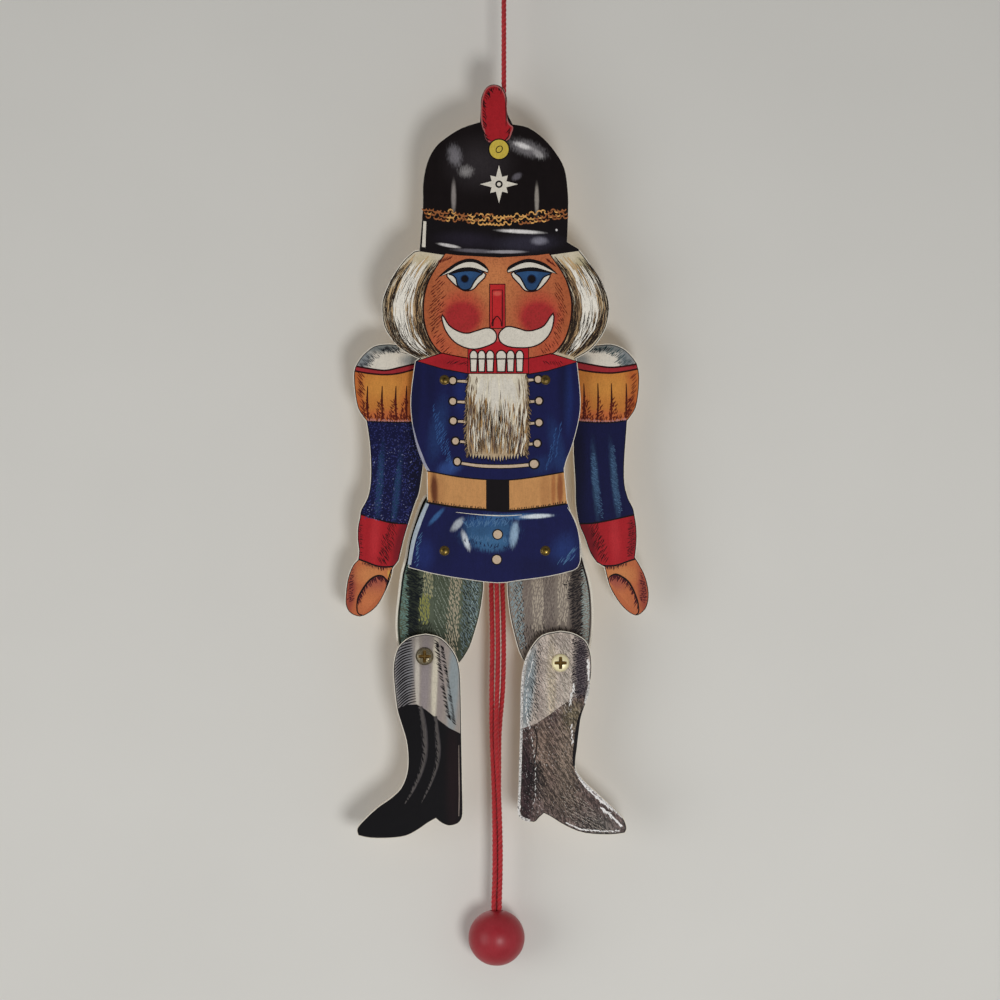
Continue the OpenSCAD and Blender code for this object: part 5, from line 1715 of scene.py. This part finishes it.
class JACK_OT_arm_pictures(bpy.types.Operator):
    """Prints the shoulder pieces, sleeves, cuffs and hands on both arms"""

    bl_idname = "jack.arm_pictures"
    bl_label = "Arm Pictures"

    def execute(self, context):
        for side in SIDES:
            page = Picture(side + "_arm_print", side + "_arm", SHOULDER[side], SIDES[side], "arm_picture")
            page.ground()
            self.arm(page, side, ARMS[side], random.Random(31 + SIDES[side]))
        return {"FINISHED"}

    def arm(self, page, side, data, rng):
        colours = settings()[0]
        left = side == "left"
        ink, red_ink = bpy.data.materials["ink"], bpy.data.materials["red_ink"]

        def clear(loops):
            """Keeps the paint off the inner lobe and its holes, which stay behind the body."""
            outer, kept = loops[0], []
            for before, point in zip(outer[-1:] + outer, outer):
                if point[0] > LOBE_X or point[1] < LOBE_Z:
                    if before[0] <= LOBE_X and before[1] >= LOBE_Z > point[1]:
                        kept.append((LOBE_X, LOBE_Z))
                    kept.append(point)
            return [kept]

        top, low = (smooth(curve) for curve in data["stripe"])
        # Shoulder piece
        spots = [(15.5, 9, 4.4, 2.8, 0x7E8484, 0, 0.7, 0.8, 0.85),
                 (37, 9, 3.4, 5.6, 0x68727A, 30, 0.5, 1.0, 0.85),
                 (28, 14.8, 10, 2.2, 0x525C60, 0, 0.5, 1.0, 0.85)]
        page.flood("shoulder_dome", clear(page.region(bottom=low)), BASE, colours.cream, spots, hairs=0.05)
        rim = [(41.6, 6.4), (39.4, 10.6), (35, 14), (29, 16), (20, 16), (20.6, 13), (27, 12.4), (31, 10.2),
               (33.2, 6.6)]
        page.marks("dome_hatch", patch(rng, rim, 40, 2.4, 0.36, 0.62, 2), 3, 0x24282E if left else 0x2C4448)
        crown = [(21, 12.6), (29, 13.2), (30, 16), (20, 16)]
        page.marks("dome_dark", patch(rng, crown, 52, 1.8, 0.36, 0.7)
                   + patch(rng, [(12, 11.5), (20, 12), (20, 13.6), (12, 13)], 20, 1.6, 0.3, 0.8), 4, ink)
        # Fringe
        spots = [(39.5, -6, 3.0, 15, 0xB4552C, 0, 0.6, 0.8, 0.8),
                 (17, -12, 3, 9, 0xC06234, 0, 0.7, 0.8, 0.6),
                 (26, -16.5, 14, 3.0, 0xC0603A, 0, 0.6, 1.2, 0.7),
                 (28, -3, 10, 5, 0xDA9A48, 0, 0.8, 0.5, 0.5)]
        page.flood("fringe", clear(page.region(top=low, bottom=data["fringe"])), BASE, colours.tassel,
                   spots, hairs=0.12)
        nicks, folds = patch(rng, data["outer_nicks"], 50, 3.6, 0.46, 0.72, 2), []
        for x in data["folds"]:
            foot = height_at(data["fringe"], x) + 0.5
            folds.append(curve_line([(x, data["fold_top"]), (x + 0.15, -9), (x - 0.1, foot)], 0.35, 0.9, 0.7))
            nicks += patch(rng, [(x + 0.3, -7), (x + 1.6, -9), (x + 3.8, foot), (x - 1.2, foot),
                                 (x - 0.2, -10)], 62, 1.9, 0.5, 0.6, 16)
        foot = [(x, height_at(data["fringe"], x)) for x in (10, 17, 24, 31, 38, 44)]
        nicks += hatch(rng, shifted(foot, 0, 0.6), 46, 84, 2.4, 0.36, 0.4, 18)
        page.marks("fringe_folds", folds, 3, 0x3A130E)
        page.marks("fringe_nicks", nicks, 4, 0x5E1F14)
        page.marks("fringe_tips", hatch(rng, shifted(foot, 0, -0.4), 44, 92, 1.3, 0.5, 0.2, 12), 5,
                   0xB87E78, hairs=0.3)
        page.line("fringe_edge", shifted(data["fringe"], 0, -0.5), 6, ink, 0.5)
        page.flood("stripe", clear(page.region(top=top, bottom=low)), 3, 0x9E2B32, hairs=0.12)
        page.line("stripe_top", top, 6, red_ink, 0.75)
        page.line("stripe_low", low, 6, red_ink, 0.75)
        # Sleeve
        spots = [(13 if left else 14, -40, 4, 24, 0x0C0C1E, 0, 0.7, 0.4, 0.7)]
        for (x, z), turn in ((data["streaks"][0][1], 4), (data["streaks"][1][1], 6)):
            spots += [(x, z, 1.4, 15, 0x1E3C60 if left else 0x3C5A78, turn, 0.6, 0.9, 0.8 if left else 0.6)]
        base = tuple(c * (0.7 if left else 0.75) for c in colours.navy)
        page.flood("sleeve", page.region(top=data["fringe"], bottom=data["cuff_top"]), BASE, base, spots,
                   hairs=0.2, grit=0.3)
        marks = []
        for curve in data["streaks"]:
            marks += patch(rng, ribbon(smooth(curve), 0.4, 2.2, 2.6, 2.2, 1.2), 122 if left else 150, 1.4,
                           0.24, 0.62, 10)
        page.marks("sleeve_strokes", marks, 3, 0x2C4A6C if left else 0x4E6E90, hairs=0.25)
        if left:
            sleeve = [(8, -19), (36, -19), (40, -62), (16, -65)]
            page.marks("sleeve_specks", dots(rng, sleeve, 1500, 0.32), 4, 0x30366E, hairs=0.3)
            page.marks("sleeve_stars", dots(rng, sleeve, 130, 0.25), 5, 0x767CA0, hairs=0.3)
        # Cuff
        spots = [(19, -73, 3.6, 13, 0x6E1822, 14, 0.5, 0.5, 0.85),
                 (31.5, -71, 2, 11, 0xC2343A, 4, 0.8, 0.4, 0.6),
                 (39.6, -70, 1.8, 12, 0x821C26, 0, 0.6, 0.6, 0.7)]
        page.flood("cuff", page.region(top=data["cuff_top"], bottom=data["cuff_low"]), BASE,
                   colours.scarlet, spots, hairs=0.1)
        outer = [(37.6, -63), (41, -62), (40, -80), (37, -80)]
        page.marks("cuff_hatch", patch(rng, data["band"], 238, 3.4, 0.32, 0.56, 3)
                   + patch(rng, outer, 200, 1.5, 0.3, 0.7, 12), 3, red_ink)
        page.band("cuff_top", data["cuff_top"], 0.7, 4, ink)
        page.band("cuff_low", data["cuff_low"], 0.75, 4, ink)
        # Hand
        far = 43.6 if left else 45.4
        spots = [(far - 1.2, -95, 2.2, 12, 0x8E3A34, 6, 0.6, 0.7, 0.8),
                 (33, -88, 7, 4, 0xD08A54, 0, 0.7, 0.4, 0.7), (38, -105, 4, 4, 0xBF633C, 0, 0.7, 0.4, 0.5),
                 (24.6, -89, 0.9, 3, 0xD8A850, -14, 0.5, 0.4, 0.9)]
        page.flood("hand", page.region(top=data["cuff_low"]), BASE, colours.skin, spots, hairs=0.08)
        thumb = page.trimmed(data["thumb"] + data["palm"][1:])
        spots = [(31.5, -92, 4, 4, 0x8E4046, 40, 0.8, 1.2, 0.6), (33, -99, 4, 6, 0xCC7A4C, 30, 0.7, 0.6, 0.6)]
        page.paint("thumb", [thumb], 3, colours.skin, spots, hairs=0.08)
        marks = hatch(rng, smooth(data["thumb"])[8:], 60, 250, 2.7, 0.44, 0.2, 12)
        marks += patch(rng, [(far - 2.4, -84), (far + 1, -84), (far + 1, -101), (far - 2.4, -100)], 158,
                       1.3, 0.34, 0.6, 16)
        low_edge = [(x, height_at(data["cuff_low"], x) - 0.4) for x in (26, 31, 37)]
        marks += hatch(rng, low_edge, 22, 268, 1.6, 0.36, 0.1, 10)
        page.marks("hand_hatch", marks, 4, 0x451420)
        page.line("hand_thumb", data["thumb"], 5, ink, 0.5, 0.8, 0.75, 0.4)
        if left:
            page.line("hand_palm", data["palm"], 5, ink, 0.35, 0.65, 0.55)


# Rows of brush strokes: the strip's two edges at its top, its two edges at its foot, its two heights, the
# colour, then the strokes' turn, length, width and gap
LEFT_THIGH = [
    (16.4, 19.6, 16.4, 19.8, -2, -47, 0x66827A, 200, 1.5, 0.5, 0.7),
    (11.6, 17.0, 12.2, 17.0, -2, -55, 0x0E1418, 205, 2.8, 0.6, 0.62),
    (8.6, 12.4, 10.8, 12.4, -12, -22, 0x11171A, 160, 1.7, 0.5, 0.7),
    (5.2, 9.8, 5.6, 9.8, -4, -21, 0x9C9878, 80, 2.2, 0.6, 0.75),
    (6.4, 11.6, 7.4, 11.8, -20, -33, 0x8B8A4C, 76, 2.0, 0.6, 0.8),
    (6, 12, 5, 13, -32, -44, 0x23261C, 84, 1.9, 0.5, 0.8),
    (-2, 5, -1, 5, -2, -54, 0x454E3E, 72, 1.6, 0.5, 0.8),
    (-2.5, 4.5, -1, 5, -2, -54, 0x8A9284, 66, 1.3, 0.34, 1.7),
    (-8, -3.4, -5.6, 0.4, -4, -47, 0xA49A84, 78, 2.2, 0.6, 0.8),
    (-17.4, -8.4, -13, -7, -4, -48, 0x67777A, 62, 1.8, 0.5, 0.85),
    (-15.6, -9.0, -13, -7.4, -4, -50, 0x151C20, 60, 2.0, 0.42, 1.0),
    (-16, -12.6, -14, -11, -6, -38, 0x90A4A6, 66, 1.4, 0.4, 1.3),
]
RIGHT_THIGH = [
    (16.4, 19.6, 16.4, 19.8, -2, -47, 0x8F9C98, 202, 1.5, 0.5, 0.7),
    (11.4, 16.6, 12, 16.6, -2, -56, 0x221E20, 212, 2.4, 0.55, 0.62),
    (7.4, 12.4, 10.4, 12.4, -13, -22, 0x2A2426, 158, 1.9, 0.5, 0.8),
    (5.2, 10.8, 5.6, 10.4, -2, -33, 0xB0A494, 84, 2.2, 0.6, 0.8),
    (-0.8, 4.0, -0.8, 4.4, -2, -40, 0x6A5F5A, 80, 2.0, 0.5, 0.8),
    (-6.4, -1.4, -5.4, -0.4, -2, -36, 0xAEA292, 82, 2.2, 0.6, 0.8),
    (-10.6, -6.6, -9.6, -5.6, -2, -44, 0x766A64, 78, 2.0, 0.5, 0.9),
    (-17.4, -10.8, -13.4, -9, -2, -44, 0x8C9CA0, 64, 2.0, 0.5, 0.8),
    (-14.4, -10.6, -12.4, -9, -4, -44, 0x1E2226, 116, 2.0, 0.4, 1.1),
    # The last row darkens the foot of the breeches: the lower leg's painted shadow
    (-10, 14, -9, 15, -34, -56, 0x3A3230, 100, 2.4, 0.45, 1.1),
]
LEFT_STOCKING = [
    ([(-6.4, 6), (-7.6, -4), (-9.6, -17), (-12.0, -29)], 40, 36, 2.6, 0.52),
    ([(-8.6, 4), (-10.2, -6), (-12.2, -18), (-14.2, -31)], 40, 40, 2.4, 0.5),
]
RIGHT_STOCKING = [
    (5.2, 12.6, 5.2, 13.0, 11, -16, 0x1C161E, 200, 1.4, 0.46, 0.78),
    (-11.6, -8.4, -15.2, -10.4, 9, -26, 0x1D2226, 118, 2.0, 0.36, 1.1),
    (-9, 5, -13, 5, 12, -22, 0x4E443E, 130, 2.2, 0.2, 1.5),
    (-9, 5, -13, 5, 12, -22, 0xD2C8BE, 130, 1.9, 0.18, 1.6),
]
# Strokes over the right boot's film; the pale rows paint the film's sheen
RIGHT_BOOT = [
    (-14, -8, -14, -8, -44, -62, 0x0F0D10, 126, 3.0, 0.4, 1.3),
    (-8, 8, -6, 10, -24, -70, 0x19140F, 124, 2.6, 0.26, 1.9),
    (2, 12, 12, 28, -62, -86, 0x141012, 150, 2.4, 0.34, 1.3),
    (0, 10, 8, 28, -60, -86, 0xA89C90, 150, 1.6, 0.26, 1.7),
    (-10, 6, -9, 8, -26, -64, 0xA08C7C, 124, 1.6, 0.24, 1.9),
]
GLINTS = [([(-18.4, 0), (-18.6, -20), (-18.5, -50), (-18.4, -72)], 130, 268, 1.7, 0.6),
          ([(12.4, 2), (13.0, -6), (12.8, -12), (11.4, -18)], 60, 262, 1.5, 0.7),
          ([(10.8, -20), (9.4, -26), (8.2, -31)], 24, 258, 1.6, 0.55),
          ([(4.8, -27), (5.0, -31), (5.6, -36)], 9, 275, 1.5, 0.5),
          ([(6.2, -9), (5.2, -13), (4.4, -18)], 16, 262, 1.6, 0.5),
          ([(-13, -32), (-11, -48), (-12, -64)], 14, 262, 1.6, 0.3),
          ([(6.8, -48), (8.6, -52.4), (12.6, -57.2), (18, -62), (25, -67.2), (28.6, -71)], 110, 320, 1.6,
           0.55), ([(18, -65), (23, -69), (26.5, -73)], 40, 322, 2.0, 0.5),
          ([(-18, -71), (-13, -75)], 16, 320, 1.4, 0.5),
          ([(2, -72), (8, -74.6), (16, -75.6), (26, -75.6)], 44, 345, 1.5, 0.42),
          ([(-15.5, -24), (-14, -30)], 8, 80, 1.4, 0.5),
          ([(-12, 2), (-14.6, -8), (-15.2, -22)], 22, 262, 1.2, 0.35),]


class JACK_OT_leg_pictures(bpy.types.Operator):
    """Prints the breeches, stockings and boots on both legs"""

    bl_idname = "jack.leg_pictures"
    bl_label = "Leg Pictures"

    def execute(self, context):
        self.ink = bpy.data.materials["ink"]
        for side, sign in SIDES.items():
            page = Picture(side + "_thigh_print", side + "_thigh", HIP[side], sign, "thigh_picture")
            page.ground()
            self.thigh(page, side == "left", random.Random(41 + sign))
            page = Picture(side + "_lower_leg_print", side + "_lower_leg", KNEE[side], sign, "boot_picture")
            page.ground()
            getattr(self, side + "_boot")(page, random.Random(51 + sign))
        return {"FINISHED"}

    def thigh(self, page, left, rng):
        code, dark = (0x565E4E, 0x20251E) if left else (0x857A70, 0x453C38)
        # The first mark darkens the foot of the breeches: the lower leg's painted shadow
        spots = [(3, -42, 13, 8, dark, 0, 0.8, 0.9, 0.7), (14, -26, 3, 30, dark, 0, 0.5, 0.9, 0.9),
                 (0, -4, 20, 5, dark, 0, 0.8, 0.6, 0.6)]
        page.flood("breeches", page.region(), BASE, code, spots, hairs=0.2, fineness=2.6)
        page.strips("breeches", LEFT_THIGH if left else RIGHT_THIGH, rng, 3)
        for name, depth, width, level, material in (
                ("edge", 0.6, 0.95, 5.6, bpy.data.materials["bare_picture"]),
                ("line", 1.55, 0.75, 4.6, self.ink)):
            rim = page.rim(depth, lambda p: p[0] > 8 and -46 < p[1] < 25)
            page.paint(f"breeches_{name}", [ribbon(rim, width, width, width * 0.8, width * 0.4)], level,
                       material)

    def left_boot(self, page, rng):
        top = [(-18, -35.6), (-16.4, -34.9), (-11, -32.2), (-6, -28.4), (-0.6, -24.1), (3.6, -21.6),
               (8.4, -21.9), (12.9, -23.9), (18, -26)]
        spots = [(9.2, -6, 4.4, 22, 0x74757A, 0, 0.4, 0.4, 0.85),
                 (3.3, -6, 1.0, 22, 0xC4BCB0, 0, 0.5, 0.4, 0.9),
                 (-0.2, -8, 1.9, 26, 0x8C8284, 2, 0.5, 0.5, 0.8),
                 (-4.6, -10, 1.3, 24, 0xCFC6B2, 2, 0.5, 0.5, 0.95),
                 (-7.6, -12, 1.6, 24, 0x8E8280, 3, 0.5, 0.5, 0.6),
                 (-13.0, -12, 2.4, 24, 0x8A969A, 3, 0.5, 0.5, 0.85),
                 (0, 9, 12, 4, 0x6E6660, 0, 0.8, 0.4, 0.5)]
        page.flood("stocking", page.region(bottom=top), BASE, 0x9A9088, spots, hairs=0.1)
        rows = [mark for curve, *rest in LEFT_STOCKING for mark in hatch(rng, smooth(curve), *rest, 0.05, 4)]
        page.marks("stocking_rows", rows, 3, self.ink)
        arcs = []
        for i in range(25):
            z, outer, inner = 8.0 - 1.2 * i + rng.uniform(-0.12, 0.12), 14.6 - 0.12 * i, 5.5 - 0.12 * max(
                i - 9, 0)
            arc = page.trimmed([(outer, z - 4.4), (outer - 2.8, z - 1.7), (inner + 3, z - 0.3),
                                (inner, z + 0.5)], 6)
            if len(arc) > 3:
                arcs.append(ribbon(arc, 0.3, 0.6, 0.66, 0.5, 0.2))
        page.paint("stocking_arcs", arcs, 3, self.ink)
        spots = [(-13, -55, 3, 26, 0x211114, 0, 0.7, 0.4, 0.6)]
        page.flood("boot", page.region(top=top), BASE, 0x08060A, spots, hairs=0.2)
        one = smooth([(2.0, -22.6), (0.5, -30.9), (-0.2, -42.6), (1.6, -51.6), (5.5, -60.6), (8.9, -66.4)])
        two = smooth([(-4.8, -27), (-6.1, -40.8), (-5.4, -49.1), (-2.3, -58.2), (1.6, -66.2)])
        for name, code, share in (("", 0x3A3638, 1.0), ("_light", 0x524D4B, 0.6)):
            streaks = [ribbon(one, *(share * w for w in (2.0, 3.0, 2.6, 1.7, 0.4))),
                       ribbon(two, *(share * w for w in (1.6, 2.6, 2.0, 1.3, 0.3)))]
            page.marks("boot_streaks" + name, streaks, 4 if name else 3, code, hairs=0.4)
        ticks = hatch(rng, shifted(one, 1.3), 50, 250, 2.2, 0.5, 0.3, 12)
        ticks += hatch(rng, shifted(two, 1.1), 44, 250, 2.0, 0.46, 0.3, 12)
        page.marks("boot_ticks", ticks, 5, 0x08060A)
        inner = [(-15.4, -40), (-15.5, -52), (-15.6, -62), (-15.4, -72)]
        page.paint("boot_line", [ribbon(smooth(inner), 0.2, 0.5, 0.3)], 5, 0x8A7C74, hairs=0.3)

    def right_boot(self, page, rng):
        top = [(-22, -30.8), (-19.6, -30.5), (-17.8, -29.8), (-11.1, -27.5), (-5.7, -23.9), (0.6, -19.2),
               (5.6, -15.8), (9, -14.5), (18, -14)]
        spots = [(9.4, -4, 3.4, 22, 0x4A4048, 0, 0.55, 0.8, 0.95),
                 (-4.0, -8, 2.0, 22, 0xC2B39C, 0, 0.6, 0.9, 0.85),
                 (-9.5, -10, 2.0, 20, 0x94857E, 0, 0.6, 0.8, 0.6),
                 (-14.4, -12, 2.6, 20, 0x86949A, -6, 0.5, 0.9, 0.85),
                 (0, 10, 8, 3, 0x8E827A, 0, 0.8, 1.0, 0.4), (2.4, -8, 1.6, 18, 0xA89E92, 0, 0.6, 0.8, 0.7)]
        # The crinkled film covers the stocking too: its crinkle paints light and shade over the creases and
        # glints on the ridges
        page.flood("stocking", page.region(bottom=top), BASE, 0xC2B4A8, spots, hairs=0.1, turn=30,
                   crinkle=0.25)
        page.strips("stocking", RIGHT_STOCKING, rng, 2.6)
        # The boot is black under a crinkled clear film: its grey-brown colour and pale marks are the film's
        # painted sheen, and its crinkle paints light and shade over the creases and glints on the ridges
        spots = [(-8, -40, 5, 14, 0x806C5E, 4, 0.7, 1.6, 0.8), (3, -44, 5, 18, 0x887868, 0, 0.7, 1.6, 0.75),
                 (6.0, -24, 5, 6, 0x7C7258, 0, 0.7, 1.6, 0.7),
                 (-11, -52, 4, 8, 0x1E1A1C, 25, 0.7, 1.0, 0.8),
                 (-15.4, -56, 2.8, 28, 0x2A181E, 0, 0.6, 0.9, 0.9),
                 (2, -62, 10, 8, 0x5E5248, -30, 0.8, 1.8, 0.7),
                 (18, -74, 9, 5, 0x64605A, -28, 0.8, 1.8, 0.75)]
        page.flood("boot", page.region(top=top), BASE, 0x665450, spots, hairs=0.2, turn=24, crinkle=0.46)
        page.strips("boot", RIGHT_BOOT, rng, 3)
        pale = []
        for curve, count, turn, length, width in GLINTS:
            pale += hatch(rng, smooth(curve), count, turn, length, width, 0.35, 14)
        page.marks("film_glints", pale, 4, 0xE8E5E2, roughness=0.2, coat=0.6, hairs=0.05)
        front = page.rim(0.6, lambda p: p[0] > 4)
        shin, shine, instep = ([p for p in front if low < p[1] < high] for low,
                               high in ((-47, -20), (-20.5, -5), (-71, -47)))
        back = page.rim(0.6, lambda p: p[0] < -13)
        page.paint("boot_shin", [ribbon(shin, 0.5, 1.5, 1.6, 0.9)], 5, self.ink)
        # Painted glare of the film along the boot's back edge, the stocking's front edge and the instep
        page.paint("boot_edge_glare", [ribbon(back, 0.6, 1.2, 1.1, 1.2), ribbon(shine, 0.3, 1.2, 0.8),
                                 ribbon(instep, 0.3, 0.8, 0.5, 0.9, 0.3)], 5, 0xD8D4D0, hairs=0.3, grit=0.9)
        edges = [ribbon(page.trimmed(curve), *widths) for curve,
                 widths in (([(10.0, -20), (8.6, -30), (7.0, -40), (6.6, -48), (7.2, -53)],
                             (0.5, 1.2, 1.3, 0.4)),
                            ([(-12, -28.4), (-10.6, -34), (-11.6, -44), (-14, -56)], (0.3, 0.6, 0.5, 0.2)),
                            ([(-3, -70), (2.3, -73.4), (8, -75.8), (14, -76.6), (22, -76.6), (28.6, -75.4)],
                             (0.5, 1.0, 1.1, 1.0)),
                            ([(-17.2, 0), (-17.7, -20), (-17.8, -50), (-17.8, -78)], (0.3, 0.5, 0.5)))]
        page.marks("film_edges", edges, 5, self.ink)


# Main

OPERATORS = (JACK_OT_stage, JACK_OT_cords, JACK_OT_boards, JACK_OT_rivets, JACK_OT_knee_screws, JACK_OT_ball,
             JACK_OT_body_picture, JACK_OT_arm_pictures, JACK_OT_leg_pictures)


class JACK_PT_sidebar(bpy.types.Panel):
    """Colours and sizes of the toy, and a button for each part of the work"""

    bl_idname = "JACK_PT_sidebar"
    bl_label = "Jumping Jack"
    bl_space_type = "VIEW_3D"
    bl_region_type = "UI"
    bl_category = "Jumping Jack"

    def draw(self, context):
        for group in (context.scene.jack_colours, context.scene.jack_sizes):
            column = self.layout.column(align=True)
            for name in group.__annotations__:
                column.prop(group, name)
        column = self.layout.column(align=True)
        for operator in OPERATORS:
            column.operator(operator.bl_idname)


CLASSES = (JackColours, JackSizes, *OPERATORS, JACK_PT_sidebar)


def register():
    for cls in CLASSES:
        bpy.utils.register_class(cls)
    bpy.types.Scene.jack_colours = PointerProperty(type=JackColours)
    bpy.types.Scene.jack_sizes = PointerProperty(type=JackSizes)


def unregister():
    del bpy.types.Scene.jack_colours
    del bpy.types.Scene.jack_sizes
    for cls in reversed(CLASSES):
        bpy.utils.unregister_class(cls)


def main():
    register()
    for operator in OPERATORS:
        getattr(bpy.ops.jack, operator.bl_idname.split(".")[1])()


if __name__ == "__main__":
    main()
